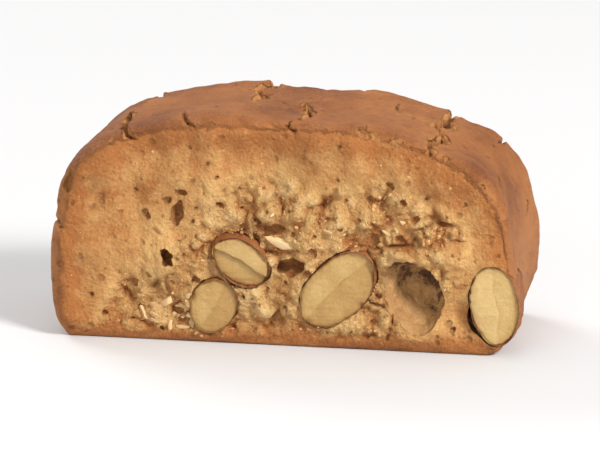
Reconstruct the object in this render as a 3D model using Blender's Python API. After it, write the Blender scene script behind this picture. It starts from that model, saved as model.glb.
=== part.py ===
"""An almond biscuit: one twice-baked slice of a flat almond loaf, with the almonds that its two cuts bare.

The slice stands on its flat underside. X runs along the slice, Y from the front cut to the back cut, Z up.
The origin is on the underside, midway between the two cuts. Sizes are in millimetres until mesh_object() makes
them metres.
"""

import math
import random

import bmesh
import bpy
from mathutils import Matrix, Vector

MM = 0.001

# The loaf's cross-section: a flat underside, steep flanks and a low dome
HALF_LENGTH = 25.6
HEIGHT = 25.4
THICKNESS = 18.4
BELT_HEIGHT = 8.4
BASE_LEFT = 24.0
BASE_RIGHT = 22.2
FLANK_POWER = 2.2
DOME_POWER_LEFT = 3.3
DOME_POWER_RIGHT = 2.6
RIM_RADIUS_TOP = 1.5
RIM_RADIUS_BASE = 0.5

# The lattice of faces over the slice
CELLS_LONG = 40
CELLS_TALL = 18
CELLS_DEEP = 11

# Waves that make the relief: seed, how many, longest and shortest wavelength, height of the longest
SWELLS = (11, 7, 30.0, 9.0, 0.17)
CRUMB_WAVES = (27, 12, 9.0, 3.6, 0.13)
CRUMB_JITTER = 0.15
UNDERSIDE_FADE = 2.5

# Cracks over the dome: share of the dome from right to left, first and last share of the depth, gape, depth, seed
CRACKS = (
    (0.26, -0.05, 1.05, 0.95, 1.5, 3),
    (0.47, -0.05, 0.62, 0.75, 1.2, 8),
    (0.56, 0.45, 1.05, 0.80, 1.2, 12),
    (0.74, -0.05, 1.05, 0.95, 1.5, 5),
)
CRACK_STATIONS = 9
CRACK_WANDER = 1.1
CRACK_ABOVE = 1.2

# Almonds bared by a cut: the cut's side, where its section lies, how deep its middle lies behind the cut,
# length, width, thickness, the turn of its width in the cut, and the lean of its length off the cut's normal
ALMONDS = {
    "almond_front_end": dict(side=-1, x=23.4, z=5.7, deep=4.0, size=(18.5, 9.2, 5.6), turn=97, lean=(-4, 6)),
    "almond_front_middle": dict(side=-1, x=5.9, z=6.7, deep=3.2, size=(17.5, 10.4, 6.3), turn=47, lean=(8, 10)),
    "almond_front_left": dict(side=-1, x=-4.9, z=9.3, deep=3.4, size=(16.5, 7.0, 4.9), turn=-26, lean=(-6, 12)),
    "almond_front_low": dict(side=-1, x=-7.8, z=4.2, deep=3.8, size=(15.5, 6.4, 5.2), turn=62, lean=(-12, 4)),
    "almond_back_long": dict(side=1, x=-8.5, z=14.4, deep=1.7, size=(19.0, 9.6, 6.6), turn=76, lean=(70, 6)),
    "almond_back_round": dict(side=1, x=12.6, z=7.4, deep=2.2, size=(13.0, 10.2, 6.6), turn=24, lean=(14, 4)),
    "almond_back_tip": dict(side=1, x=17.4, z=15.4, deep=3.6, size=(15.0, 7.6, 5.6), turn=-48, lean=(-10, -10)),
}
ALMOND_GAP = 0.36
ALMOND_RINGS = 10
ALMOND_SEGMENTS = 16
ALMOND_PROUD = 0.12

# The bare print of an almond that fell out, shaped as an almond that is only sunk a little
PRINT = dict(side=-1, x=14.7, z=6.6, deep=-3.4, size=(16.5, 10.4, 7.6), turn=105, lean=(20, 12))

# Holes in the crumb beside the almonds: side, x, z, half width, half height, half depth, turn
HOLES = (
    (-1, 0.7, 9.1, 1.8, 1.0, 1.9, 12),
    (-1, -1.5, 13.1, 1.6, 0.8, 1.5, -8),
    (-1, -12.9, 9.7, 0.95, 0.95, 1.3, 0),
    (-1, -11.9, 14.4, 0.75, 1.4, 1.0, -20),
    (-1, -15.4, 14.3, 0.6, 0.6, 0.8, 0),
    (-1, 9.6, 12.6, 1.1, 0.7, 1.0, 20),
    (1, 2.4, 12.8, 1.5, 0.9, 1.6, 25),
    (1, 0.8, 4.6, 1.1, 0.8, 1.2, 0),
    (1, -17.6, 7.0, 1.4, 0.9, 1.3, -30),
    (1, 19.4, 8.2, 0.9, 0.9, 1.1, 0),
)
PORES_A_SIDE = 18
PORE_SIZES = (0.45, 0.85)

# Chips of broken almond baked into the cuts: side, x, z, half length, half width, half height, turn
CHIPS = (
    (-1, 0.0, 11.6, 2.1, 0.75, 0.9, -12),
    (-1, -13.4, 4.1, 1.2, 0.75, 0.8, 30),
    (-1, -15.6, 2.9, 0.9, 0.7, 0.7, -40),
    (-1, 11.2, 17.2, 1.3, 0.8, 0.8, 15),
    (1, -1.2, 8.6, 1.5, 0.9, 0.9, 40),
    (1, 13.9, 3.4, 1.2, 0.8, 0.8, -15),
    (1, -14.6, 4.0, 1.7, 0.8, 0.9, 10),
    (1, 4.6, 18.6, 1.2, 0.8, 0.8, -35),
)
CHIP_SUNK = 0.35

# Flakes lost where the crust meets a cut: side, share of the dome, half sizes along, across and into the crust
LOST_FLAKES = (
    (-1, 0.34, 2.3, 1.3, 0.75),
    (-1, 0.88, 1.9, 1.1, 0.7),
    (1, 0.16, 2.1, 1.2, 0.7),
    (1, 0.63, 2.6, 1.4, 0.8),
)

COLOURS = {
    "baked_dough": ((0.52, 0.26, 0.095), 0.8),
    "almond": ((0.62, 0.42, 0.19), 0.55),
}


def clear_scene():
    for obj in list(bpy.data.objects):
        bpy.data.objects.remove(obj, do_unlink=True)


def material(name):
    """A Principled material in the photographed colour."""
    made = bpy.data.materials.get(name) or bpy.data.materials.new(name)
    made.use_nodes = True
    shader = made.node_tree.nodes["Principled BSDF"]
    colour, roughness = COLOURS[name]
    shader.inputs["Base Color"].default_value = (*colour, 1.0)
    shader.inputs["Roughness"].default_value = roughness
    shader.inputs["Metallic"].default_value = 0.0
    made.diffuse_color = (*colour, 1.0)
    return made


def mesh_object(name, bm, finish=None):
    """An object of the bmesh, which is in millimetres, at its real size."""
    bmesh.ops.scale(bm, vec=(MM, MM, MM), verts=bm.verts)
    mesh = bpy.data.meshes.new(name)
    bm.to_mesh(mesh)
    bm.free()
    obj = bpy.data.objects.new(name, mesh)
    bpy.context.scene.collection.objects.link(obj)
    if finish:
        mesh.materials.append(material(finish))
    return obj


def signed_power(value, power):
    return math.copysign(abs(value) ** power, value)


def loaf_curve(steps=240):
    """Points round the loaf's cross-section: the underside from left to right, then over the dome to the left."""
    points = [Vector((-BASE_LEFT + (BASE_LEFT + BASE_RIGHT) * i / steps, 0.0)) for i in range(steps)]
    flank = 2 / FLANK_POWER
    for i in range(steps):
        turn = 0.5 * math.pi * i / steps
        out = BASE_RIGHT + (HALF_LENGTH - BASE_RIGHT) * math.sin(turn) ** flank
        points.append(Vector((out, BELT_HEIGHT * (1 - math.cos(turn) ** flank))))
    for i in range(2 * steps):
        turn = 0.5 * math.pi * i / steps
        power = 2 / (DOME_POWER_RIGHT if i <= steps else DOME_POWER_LEFT)
        rise = (HEIGHT - BELT_HEIGHT) * math.sin(turn) ** power
        points.append(Vector((HALF_LENGTH * signed_power(math.cos(turn), power), BELT_HEIGHT + rise)))
    for i in range(steps):
        turn = 0.5 * math.pi * (1 - i / steps)
        out = BASE_LEFT + (HALF_LENGTH - BASE_LEFT) * math.sin(turn) ** flank
        points.append(Vector((-out, BELT_HEIGHT * (1 - math.cos(turn) ** flank))))
    return points


def evenly_spaced(points, count):
    """The closed curve read again as count points the same distance apart, from its first point."""
    ends = points[1:] + points[:1]
    lengths = [(b - a).length for a, b in zip(points, ends)]
    step = sum(lengths) / count
    spaced, walked, target = [], 0.0, 0.0
    for a, b, length in zip(points, ends, lengths):
        while target < walked + length - 1e-9 and len(spaced) < count:
            spaced.append(a.lerp(b, (target - walked) / length))
            target += step
        walked += length
    return spaced


class Loaf:
    """The loaf's cross-section as a curve that gives a point and an outward normal at any place round it."""

    def __init__(self, count):
        self.points = evenly_spaced(loaf_curve(), count)
        self.count = count

    def at(self, place):
        first = math.floor(place)
        a, b = self.points[first % self.count], self.points[(first + 1) % self.count]
        return a.lerp(b, place - first)

    def normal(self, place):
        along = self.at(place + 0.5) - self.at(place - 0.5)
        return Vector((along.y, -along.x)).normalized()

    def dome_place(self, share):
        """The place at a share of the dome, from its right foot at the belt to its left foot."""
        belt = [i for i, p in enumerate(self.points) if p.y >= BELT_HEIGHT]
        return belt[0] + share * (belt[-1] - belt[0])


def wave_set(seed, count, longest, shortest, height):
    """Sine waves in seeded directions, each a step shorter and lower than the last: height, wave vector, phase."""
    draw = random.Random(seed)
    rows = []
    for n in range(count):
        length = longest * (shortest / longest) ** (n / (count - 1))
        direction = Vector((draw.gauss(0, 1), draw.gauss(0, 1), draw.gauss(0, 1))).normalized()
        phase = draw.uniform(0, 2 * math.pi)
        rows.append((height * math.sqrt(length / longest), direction * (2 * math.pi / length), phase))
    return rows


def relief(rows, point):
    return sum(height * math.sin(wave.dot(point) + phase) for height, wave, phase in rows)


def smooth_step(value):
    value = min(1.0, max(0.0, value))
    return value * value * (3 - 2 * value)


def slab_vertex(loaf, i, j, k):
    """A lattice point carried onto the slice, with its rim rounded, and how much of it is cut rather than crust."""
    across = 2 * i / CELLS_LONG - 1
    up = 2 * k / CELLS_TALL - 1
    ring = max(abs(across), abs(up), 1e-9)
    u, w = across / ring, up / ring
    if w <= -1 + 1e-9:
        place = (u + 1) / 2 * CELLS_LONG
    elif u >= 1 - 1e-9:
        place = CELLS_LONG + (w + 1) / 2 * CELLS_TALL
    elif w >= 1 - 1e-9:
        place = CELLS_LONG + CELLS_TALL + (1 - u) / 2 * CELLS_LONG
    else:
        place = 2 * CELLS_LONG + CELLS_TALL + (1 - w) / 2 * CELLS_TALL
    edge, normal = loaf.at(place), loaf.normal(place)
    heart = Vector((0.0, HEIGHT * 0.42))
    flat = heart + (edge - heart) * min(ring, 1.0)
    inset = (edge - flat).dot(normal)
    side = 2 * j / CELLS_DEEP - 1
    behind = THICKNESS / 2 * (1 - abs(side))
    radius = RIM_RADIUS_BASE + (RIM_RADIUS_TOP - RIM_RADIUS_BASE) * smooth_step(edge.y / BELT_HEIGHT)
    on_cut = j in (0, CELLS_DEEP)
    reach = min(1.0, (inset if on_cut else behind) / radius)
    turn = math.radians(45 + 45 * reach * (1 if on_cut else -1))
    new_inset = max(inset, 0.0) if on_cut and reach >= 1 else radius * (1 - math.cos(turn))
    new_behind = behind if not on_cut and reach >= 1 else radius * (1 - math.sin(turn))
    flat -= normal * (new_inset - inset)
    y = math.copysign(THICKNESS / 2 - new_behind, side)
    return Vector((flat.x, y, flat.y)), turn / math.radians(90)


def slab(loaf):
    """The slice before anything is cut from it: a lattice box drawn onto the loaf's section, then swollen."""
    bm = bmesh.new()
    verts, cut_share = {}, {}
    for i in range(CELLS_LONG + 1):
        for j in range(CELLS_DEEP + 1):
            for k in range(CELLS_TALL + 1):
                if i in (0, CELLS_LONG) or j in (0, CELLS_DEEP) or k in (0, CELLS_TALL):
                    place, share = slab_vertex(loaf, i, j, k)
                    verts[i, j, k] = bm.verts.new(place)
                    cut_share[i, j, k] = share
    sizes = (CELLS_LONG, CELLS_DEEP, CELLS_TALL)
    for fixed in range(3):
        a, b = (n for n in range(3) if n != fixed)
        for level in (0, sizes[fixed]):
            for p in range(sizes[a]):
                for q in range(sizes[b]):
                    corners = []
                    for dp, dq in ((0, 0), (1, 0), (1, 1), (0, 1)):
                        key = [0, 0, 0]
                        key[fixed], key[a], key[b] = level, p + dp, q + dq
                        corners.append(verts[tuple(key)])
                    bm.faces.new(corners)
    bmesh.ops.recalc_face_normals(bm, faces=bm.faces)
    bm.normal_update()
    rough = random.Random(4)
    swells, crumb_waves = wave_set(*SWELLS), wave_set(*CRUMB_WAVES)
    moved = {}
    for key, vert in verts.items():
        crumb = relief(crumb_waves, vert.co) + rough.uniform(-CRUMB_JITTER, CRUMB_JITTER)
        lift = relief(swells, vert.co) + crumb * smooth_step(2 * cut_share[key] - 1)
        moved[key] = vert.co + vert.normal * lift * smooth_step(vert.co.z / UNDERSIDE_FADE)
    for key, vert in verts.items():
        vert.co = moved[key]
    return bm


def almond_frame(row):
    """The matrix that stands an almond, whose length is along its own Z, where its row says."""
    lean_x, lean_z = (math.tan(math.radians(a)) for a in row["lean"])
    length_axis = Vector((lean_x, -row["side"], lean_z)).normalized()
    turn = math.radians(row["turn"])
    width_axis = Vector((math.cos(turn), 0.0, math.sin(turn)))
    width_axis = (width_axis - length_axis * width_axis.dot(length_axis)).normalized()
    thick_axis = length_axis.cross(width_axis)
    centre = Vector((row["x"], row["side"] * THICKNESS / 2, row["z"]))
    centre += length_axis * (row["deep"] / abs(length_axis.y))
    turned = Matrix((width_axis, thick_axis, length_axis)).transposed()
    return Matrix.Translation(centre) @ turned.to_4x4()


def almond_shape(size, swell=0.0):
    """An almond about its own middle: an egg, flatter than wide, that narrows to a blunt point at its far end."""
    length, width, thick = (0.5 * s + swell for s in size)
    bm = bmesh.new()
    bmesh.ops.create_uvsphere(bm, u_segments=ALMOND_SEGMENTS, v_segments=ALMOND_RINGS, radius=1.0)
    for vert in bm.verts:
        x, y, z = vert.co
        narrow = 1 - 0.20 * z - 0.16 * max(z, 0.0) ** 3
        vert.co = (x * narrow * width, y * narrow * thick, z * length)
    return bm


def almond(name, row):
    """An almond cut off level with the biscuit's cut, which the knife leaves a hair proud of the crumb."""
    bm = almond_shape(row["size"])
    frame = almond_frame(row)
    bmesh.ops.transform(bm, matrix=frame, verts=bm.verts)
    level = THICKNESS / 2 + ALMOND_PROUD
    cut = bmesh.ops.bisect_plane(
        bm,
        geom=bm.verts[:] + bm.edges[:] + bm.faces[:],
        dist=1e-4,
        plane_co=(0, row["side"] * level, 0),
        plane_no=(0, row["side"], 0),
        clear_outer=True,
    )
    ring = [e for e in cut["geom_cut"] if isinstance(e, bmesh.types.BMEdge)]
    bmesh.ops.contextual_create(bm, geom=ring)
    bmesh.ops.recalc_face_normals(bm, faces=bm.faces)
    bmesh.ops.transform(bm, matrix=frame.inverted(), verts=bm.verts)
    obj = mesh_object(name, bm, "almond")
    obj.matrix_world = Matrix.Translation(frame.translation * MM) @ frame.to_3x3().to_4x4()
    return obj


def almond_pocket(name, row, gap):
    bm = almond_shape(row["size"], gap)
    bmesh.ops.transform(bm, matrix=almond_frame(row), verts=bm.verts)
    return mesh_object(name, bm)


def pebble(name, centre, halves, turn, detail, seed):
    """An uneven ball, turned about Y: a hole's cutter, or a chip of nut."""
    bm = bmesh.new()
    bmesh.ops.create_icosphere(bm, subdivisions=detail, radius=1.0)
    rough = random.Random(seed)
    for vert in bm.verts:
        vert.co *= rough.uniform(0.82, 1.12)
    bmesh.ops.scale(bm, vec=halves, verts=bm.verts)
    spin = Matrix.Rotation(-math.radians(turn), 4, "Y")
    bmesh.ops.transform(bm, matrix=Matrix.Translation(centre) @ spin, verts=bm.verts)
    return mesh_object(name, bm)


def on_cut(side, x, z, out=0.0):
    """A point on a cut's own level, out millimetres in front of it."""
    return Vector((x, side * (THICKNESS / 2 + out), z))


def holes():
    made = []
    for n, (side, x, z, wide, tall, deep, turn) in enumerate(HOLES):
        made.append(pebble(f"hole_{n}", on_cut(side, x, z), (wide, deep, tall), turn, 2, 40 + n))
    return made


def clear_of_pieces(side, x, z, radius):
    """Whether a pore there stays off the almonds, chips and named holes of its cut."""
    rows = list(ALMONDS.values()) + [PRINT]
    for row in rows:
        near = 0.55 * max(row["size"][1], row["size"][2])
        if abs(row["lean"][0]) > 45:
            near = 0.5 * row["size"][0]
        if row["side"] == side and math.hypot(x - row["x"], z - row["z"]) < near + radius + 0.5:
            return False
    for row in CHIPS + HOLES:
        if row[0] == side and math.hypot(x - row[1], z - row[2]) < max(row[3], row[4]) + radius + 0.4:
            return False
    return True


def pores():
    """Small bubbles of the crumb, spread over both cuts by a seeded draw and kept apart."""
    draw = random.Random(21)
    made, placed = [], []
    for side in (-1, 1):
        count = 0
        while count < PORES_A_SIDE:
            x = draw.uniform(-HALF_LENGTH + 4, HALF_LENGTH - 4)
            z = draw.uniform(2.2, HEIGHT - 3.5)
            radius = draw.uniform(*PORE_SIZES)
            if z > BELT_HEIGHT and (abs(x) / (HALF_LENGTH - 3)) ** 2.6 + (z / (HEIGHT - 3)) ** 2.6 > 1:
                continue
            apart = all(s != side or math.hypot(x - a, z - b) > radius + r + 0.5 for s, a, b, r in placed)
            if not apart or not clear_of_pieces(side, x, z, radius):
                continue
            placed.append((side, x, z, radius))
            halves = (radius * draw.uniform(0.8, 1.4), radius * 1.2, radius)
            made.append(pebble(f"pore_{len(made)}", on_cut(side, x, z, 0.1), halves, draw.uniform(0, 180), 1, len(made)))
            count += 1
    return made


def crack(name, loaf, share, first, last, gape, depth, seed):
    """A jagged wedge sunk in the crust, deepest in its middle, that runs from near one cut towards the other."""
    wander = random.Random(seed)
    middle = loaf.dome_place(share)
    step = (loaf.points[1] - loaf.points[0]).length
    bm = bmesh.new()
    rows = []
    for n in range(CRACK_STATIONS):
        along = n / (CRACK_STATIONS - 1)
        y = THICKNESS * (first + (last - first) * along - 0.5)
        place = middle + wander.uniform(-CRACK_WANDER, CRACK_WANDER) / step
        point, normal = loaf.at(place), loaf.normal(place)
        tangent = Vector((-normal.y, normal.x))
        open_end = (first < 0 and n == 0) or (last > 1 and n == CRACK_STATIONS - 1)
        strength = 0.75 if open_end else max(0.25, math.sin(math.pi * along) ** 0.6) * wander.uniform(0.75, 1.2)
        half = 0.5 * gape * strength
        corners = ((-2.2 * half, CRACK_ABOVE), (2.2 * half, CRACK_ABOVE), (0.25 * half, -depth * strength))
        row = []
        for sideways, out in corners:
            spot = point + tangent * sideways + normal * out
            row.append(bm.verts.new((spot.x, y, spot.y)))
        rows.append(row)
    for a, b in zip(rows, rows[1:]):
        for n in range(3):
            m = (n + 1) % 3
            bm.faces.new((a[n], a[m], b[m], b[n]))
    bm.faces.new(rows[0])
    bm.faces.new(rows[-1])
    bmesh.ops.triangulate(bm, faces=bm.faces)
    bmesh.ops.recalc_face_normals(bm, faces=bm.faces)
    return mesh_object(name, bm)


def lost_flakes(loaf):
    """Shallow bites out of the rim, where a flake of crust came away with the knife."""
    made = []
    for n, (side, share, along, across, into) in enumerate(LOST_FLAKES):
        place = loaf.dome_place(share)
        point, normal = loaf.at(place), loaf.normal(place)
        slope = math.degrees(math.atan2(-normal.x, normal.y))
        centre = Vector((point.x, side * (THICKNESS / 2 - 0.4), point.y))
        made.append(pebble(f"lost_flake_{n}", centre, (along, across, into), slope, 2, 70 + n))
    return made


def chips():
    made = []
    for n, (side, x, z, long, wide, tall, turn) in enumerate(CHIPS):
        centre = on_cut(side, x, z, -CHIP_SUNK)
        made.append(pebble(f"chip_{n}", centre, (long, tall, wide), turn, 2, 90 + n))
    return made


def applied(obj):
    """The object with its modifiers made part of its mesh."""
    graph = bpy.context.evaluated_depsgraph_get()
    old = obj.data
    obj.data = bpy.data.meshes.new_from_object(obj.evaluated_get(graph))
    obj.modifiers.clear()
    bpy.data.meshes.remove(old)
    obj.data.name = obj.name
    return obj


def with_collection(obj, pieces, operation):
    """The object joined with the pieces, or cut by them, in one Boolean. The pieces are then removed."""
    group = bpy.data.collections.new(f"{obj.name}_{operation.lower()}")
    bpy.context.scene.collection.children.link(group)
    for piece in pieces:
        group.objects.link(piece)
        bpy.context.scene.collection.objects.unlink(piece)
    modifier = obj.modifiers.new(operation.title(), "BOOLEAN")
    modifier.operation = operation
    modifier.operand_type = "COLLECTION"
    modifier.collection = group
    modifier.solver = "EXACT"
    bpy.context.view_layer.update()
    applied(obj)
    for piece in pieces:
        bpy.data.objects.remove(piece, do_unlink=True)
    bpy.data.collections.remove(group)
    return obj


def drop_scraps(obj):
    """Keeps the largest body of the mesh and drops what a cut left loose."""
    bm = bmesh.new()
    bm.from_mesh(obj.data)
    left, bodies = set(bm.verts), []
    while left:
        front = [left.pop()]
        body = set(front)
        while front:
            near = {e.other_vert(v) for v in front for e in v.link_edges}
            front = list(near - body)
            body |= near
        left -= body
        bodies.append(body)
    bodies.sort(key=len)
    for body in bodies[:-1]:
        bmesh.ops.delete(bm, geom=list(body), context="VERTS")
    bm.to_mesh(obj.data)
    bm.free()


def biscuit():
    """The dough: the slice with its chips baked in, then its pockets, holes and cracks taken out."""
    loaf = Loaf(2 * (CELLS_LONG + CELLS_TALL))
    dough = mesh_object("biscuit", slab(loaf), "baked_dough")
    with_collection(dough, chips(), "UNION")
    cutters = [almond_pocket(f"pocket_{name}", row, ALMOND_GAP) for name, row in ALMONDS.items()]
    cutters.append(almond_pocket("print", PRINT, 0.0))
    cutters += holes() + pores() + lost_flakes(loaf)
    cutters += [crack(f"crack_{n}", loaf, *row) for n, row in enumerate(CRACKS)]
    with_collection(dough, cutters, "DIFFERENCE")
    drop_scraps(dough)
    dough.data.materials.clear()
    dough.data.materials.append(material("baked_dough"))
    return dough


def main():
    clear_scene()
    biscuit()
    for name, row in ALMONDS.items():
        almond(name, row)


main()
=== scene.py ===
import itertools
import math
import random

import bmesh
import bpy
import numpy as np
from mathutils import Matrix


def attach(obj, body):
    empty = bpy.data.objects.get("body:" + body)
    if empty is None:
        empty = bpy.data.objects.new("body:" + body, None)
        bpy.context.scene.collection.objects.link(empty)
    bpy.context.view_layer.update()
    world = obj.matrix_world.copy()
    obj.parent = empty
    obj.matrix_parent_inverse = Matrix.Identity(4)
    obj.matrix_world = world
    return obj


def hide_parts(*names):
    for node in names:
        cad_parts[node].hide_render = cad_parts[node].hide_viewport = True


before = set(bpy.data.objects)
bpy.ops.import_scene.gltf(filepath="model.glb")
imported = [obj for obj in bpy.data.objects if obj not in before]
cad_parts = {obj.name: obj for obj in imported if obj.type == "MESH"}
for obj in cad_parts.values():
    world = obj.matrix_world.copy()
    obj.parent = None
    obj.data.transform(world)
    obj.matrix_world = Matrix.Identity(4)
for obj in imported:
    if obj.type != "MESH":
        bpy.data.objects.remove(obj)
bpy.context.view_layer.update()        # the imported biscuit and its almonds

mm = 0.001  # everything below is worked out in millimetres and made metres when it becomes a mesh


# camera, lights and floor

studio = {
    # degrees, metres, the lens in millimetres, and the point that is looked at in millimetres
    "azimuth": 10, "elevation": 15, "distance": 0.62, "lens": 335, "aim": (0.2, 0.0, 11.4),
    "floor": (0.70, 0.70, 0.71), "floorRoughness": 0.8, "floorReach": 2.5,
    "air": (1.0, 0.99, 0.975), "airStrength": 0.42,
    # name: place in metres, width, height, watts, colour
    "lights": {
        "keySoftbox": ((0.50, -0.34, 0.46), 0.20, 0.20, 6.0, (1.0, 0.985, 0.965)),
        "frontSoftbox": ((-0.30, -0.80, 0.40), 0.70, 0.50, 2.0, (1.0, 0.995, 0.985)),
        "topSoftbox": ((-0.10, 0.15, 0.75), 0.60, 0.50, 1.2, (1.0, 0.99, 0.98)),
        "backSoftbox": ((-0.62, 0.56, 0.50), 0.45, 0.40, 4.0, (1.0, 0.995, 0.985)),
    },
}


def linked(name, data):
    # a new object that holds this data, put into the scene
    thing = bpy.data.objects.new(name, data)
    bpy.context.scene.collection.objects.link(thing)
    return thing


def aimed(name, data, place, target):
    # a camera or a lamp at its place, turned to its target
    thing = linked(name, data)
    thing.location = place
    x, y, z = np.array(target) - np.array(place)
    thing.rotation_euler = (math.atan2(math.hypot(x, y), -z), 0.0, math.atan2(-x, y))
    return thing


def newMaterial(name, constants):
    # a material, its tree, and its shader with these constants on its sockets
    material = bpy.data.materials.new(name)
    material.use_nodes = True
    shader = material.node_tree.nodes["Principled BSDF"]
    for socket, value in constants.items():
        shader.inputs[socket].default_value = value
    return material, material.node_tree, shader


def makeStudio():
    # the camera stands back from the aim in the direction that the sines and cosines of azimuth and
    # elevation give; the softboxes face the aim, and a large square floor lies at height 0
    scene = bpy.context.scene
    scene.view_settings.view_transform = "Standard"
    turn, up = math.radians(studio["azimuth"]), math.radians(studio["elevation"])
    aim = np.array(studio["aim"]) * mm
    back = np.array([math.sin(turn) * math.cos(up), -math.cos(turn) * math.cos(up), math.sin(up)])
    lens = bpy.data.cameras.new("photoCamera")
    lens.lens = studio["lens"]
    scene.camera = aimed("photoCamera", lens, aim + back * studio["distance"], aim)
    for name, (place, wide, tall, watts, colour) in studio["lights"].items():
        lamp = bpy.data.lights.new(name, "AREA")
        lamp.shape = "RECTANGLE"
        lamp.size, lamp.size_y, lamp.energy, lamp.color = wide, tall, watts, colour
        aimed(name, lamp, place, aim)
    scene.world = bpy.data.worlds.new("studioAir")
    scene.world.use_nodes = True
    air = scene.world.node_tree.nodes["Background"].inputs
    air["Color"].default_value = (*studio["air"], 1)
    air["Strength"].default_value = studio["airStrength"]
    reach = studio["floorReach"]
    mesh = bpy.data.meshes.new("paleFloor")
    corners = [(-reach, -reach, 0), (reach, -reach, 0), (reach, reach, 0), (-reach, reach, 0)]
    mesh.from_pydata(corners, [], [(0, 1, 2, 3)])
    look = {"Base Color": (*studio["floor"], 1), "Roughness": studio["floorRoughness"]}
    mesh.materials.append(newMaterial("paleFloor", look)[0])
    floor = linked("paleFloor", mesh)


makeStudio()
print("studio ready")


# numbers spread over points in space

stirring = {"axes": (73856093, 19349663, 83492791), "seed": (40503, 977), "factor": 1274126177,
            "top": 0xFFFFFF}


def smooth(value):
    # runs from 0 to 1 without a corner at either end
    value = np.clip(value, 0.0, 1.0)
    return value * value * (3 - 2 * value)


def rise(value, low, high):
    # 0 up to low and 1 from high on, smooth between
    return smooth((value - low) / (high - low))


def hashed(cell, seed):
    # a repeatable number from 0 to 1 for each whole-number cell: its indices multiplied, folded together
    # and stirred
    x, y, z = [cell[:, n] * stirring["axes"][n] for n in range(3)]
    stir = x ^ y ^ z ^ (seed * stirring["seed"][0] + stirring["seed"][1])
    stir = (stir ^ (stir >> 13)) * stirring["factor"]
    return ((stir ^ (stir >> 17)) & stirring["top"]) / stirring["top"]


def softNoise(points, size, seed):
    # random values at the corners of cubes of this size, blended smoothly between the corners, from -1 to 1
    spot = points / size
    cell = np.floor(spot).astype(np.int64)
    part = smooth(spot - cell)
    total = np.zeros(len(points))
    for corner in itertools.product((0, 1), repeat=3):
        total += np.prod(np.where(corner, part, 1 - part), axis=1) * hashed(cell + corner, seed)
    return 2 * total - 1


def layeredNoise(points, size, seed, layers=1):
    # soft noise at this size plus halves of it, each layer half as high
    return sum(0.5 ** n * softNoise(points, size * 0.5 ** n, seed + 11 * n) for n in range(layers))


def noiseSum(points, *rows):
    # layered noises added up, each row a height and then the noise's size, seed and layers
    return sum(height * layeredNoise(points, *row) for height, *row in rows)


def warped(points, size, seed, reach):
    # points pushed about by three soft noises, so that what is worked out from them loses its regular shape
    return points + reach * np.stack([softNoise(points, size, seed + 100 * n) for n in range(3)], axis=1)


def pebbleNoise(points, size, seed):
    # one random middle in each cube of this size: the distance to the nearest middle, to the next one, and
    # the nearest one's own number, distances in millimetres
    spot = points / size
    cell = np.floor(spot).astype(np.int64)
    near, further, own = np.full(len(points), 9.0), np.full(len(points), 9.0), np.zeros(len(points))
    for step in itertools.product((-1, 0, 1), repeat=3):
        there = cell + step
        middle = there + np.stack([hashed(there, seed + n) for n in range(3)], axis=1)
        away = np.linalg.norm(spot - middle, axis=1)
        closer = away < near
        further = np.where(closer, near, np.minimum(further, away))
        own = np.where(closer, hashed(there, seed + 7), own)
        near = np.where(closer, away, near)
    return near * size, further * size, own


def lumps(points, size, seed):
    # rounded crumbs packed together: a dome over each pebble's middle, from a third of full height to full
    away, _, own = pebbleNoise(points, size, seed)
    return np.clip(1 - (away / (0.66 * size)) ** 2, 0, 1) * (0.35 + 0.65 * own)


def creases(points, size, seed, width):
    # 1 midway between two neighbouring pebbles, falling to 0 this far to either side
    away, further, _ = pebbleNoise(points, size, seed)
    return np.clip(1 - (further - away) / width, 0, 1) ** 1.5


def waveSet(seed, count, longest, shortest, height):
    # sine waves in seeded directions, each a step shorter and lower than the last: height, wave vector, phase
    draw = random.Random(seed)
    rows = []
    for n in range(count):
        length = longest * (shortest / longest) ** (n / (count - 1))
        direction = np.array([draw.gauss(0, 1) for axis in range(3)])
        direction *= 2 * math.pi / length / np.linalg.norm(direction)
        rows.append((height * math.sqrt(length / longest), direction, draw.uniform(0, 2 * math.pi)))
    return rows


def relief(rows, points):
    # the waves added up: each is its height times the sine of its phase plus the point's product with its
    # wave vector
    return sum(height * np.sin(points @ wave + phase) for height, wave, phase in rows)


# meshes

def vertexNormals(points, faces):
    # the cross product of each four-sided face's diagonals, added up at its corners
    across = np.cross(points[faces[:, 2]] - points[faces[:, 0]], points[faces[:, 3]] - points[faces[:, 1]])
    total = np.zeros_like(points)
    for corner in range(4):
        for axis in range(3):
            total[:, axis] += np.bincount(faces[:, corner], across[:, axis], len(points))
    return total / np.maximum(np.linalg.norm(total, axis=1, keepdims=True), 1e-12)


def meshVolume(mesh):
    # a sixth of the triple product of each triangle's corners, added up
    mesh.calc_loop_triangles()
    corners = np.empty(len(mesh.loop_triangles) * 3, int)
    mesh.loop_triangles.foreach_get("vertices", corners)
    points = np.empty(len(mesh.vertices) * 3)
    mesh.vertices.foreach_get("co", points)
    a, b, c = np.moveaxis(points.reshape(-1, 3)[corners.reshape(-1, 3)], 1, 0)
    return np.sum(a * np.cross(b, c)) / 6


def closedMesh(name, points, faces, marks, shaded=True):
    # a mesh of these points in millimetres, turned right side out, with one number a point for each mark; the
    # repeated corner of a three-sided face is dropped
    mesh = bpy.data.meshes.new(name)
    rows = [row[:3] if row[3] == row[2] else row for row in faces.tolist()]
    mesh.from_pydata((points * mm).tolist(), [], rows)
    if meshVolume(mesh) < 0:
        mesh.flip_normals()
    if shaded:
        mesh.polygons.foreach_set("use_smooth", np.ones(len(mesh.polygons), bool))
    for mark, values in marks.items():
        values = np.broadcast_to(values, len(points)).astype(np.float32)
        mesh.attributes.new(mark, "FLOAT", "POINT").data.foreach_set("value", values)
    return mesh


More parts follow.
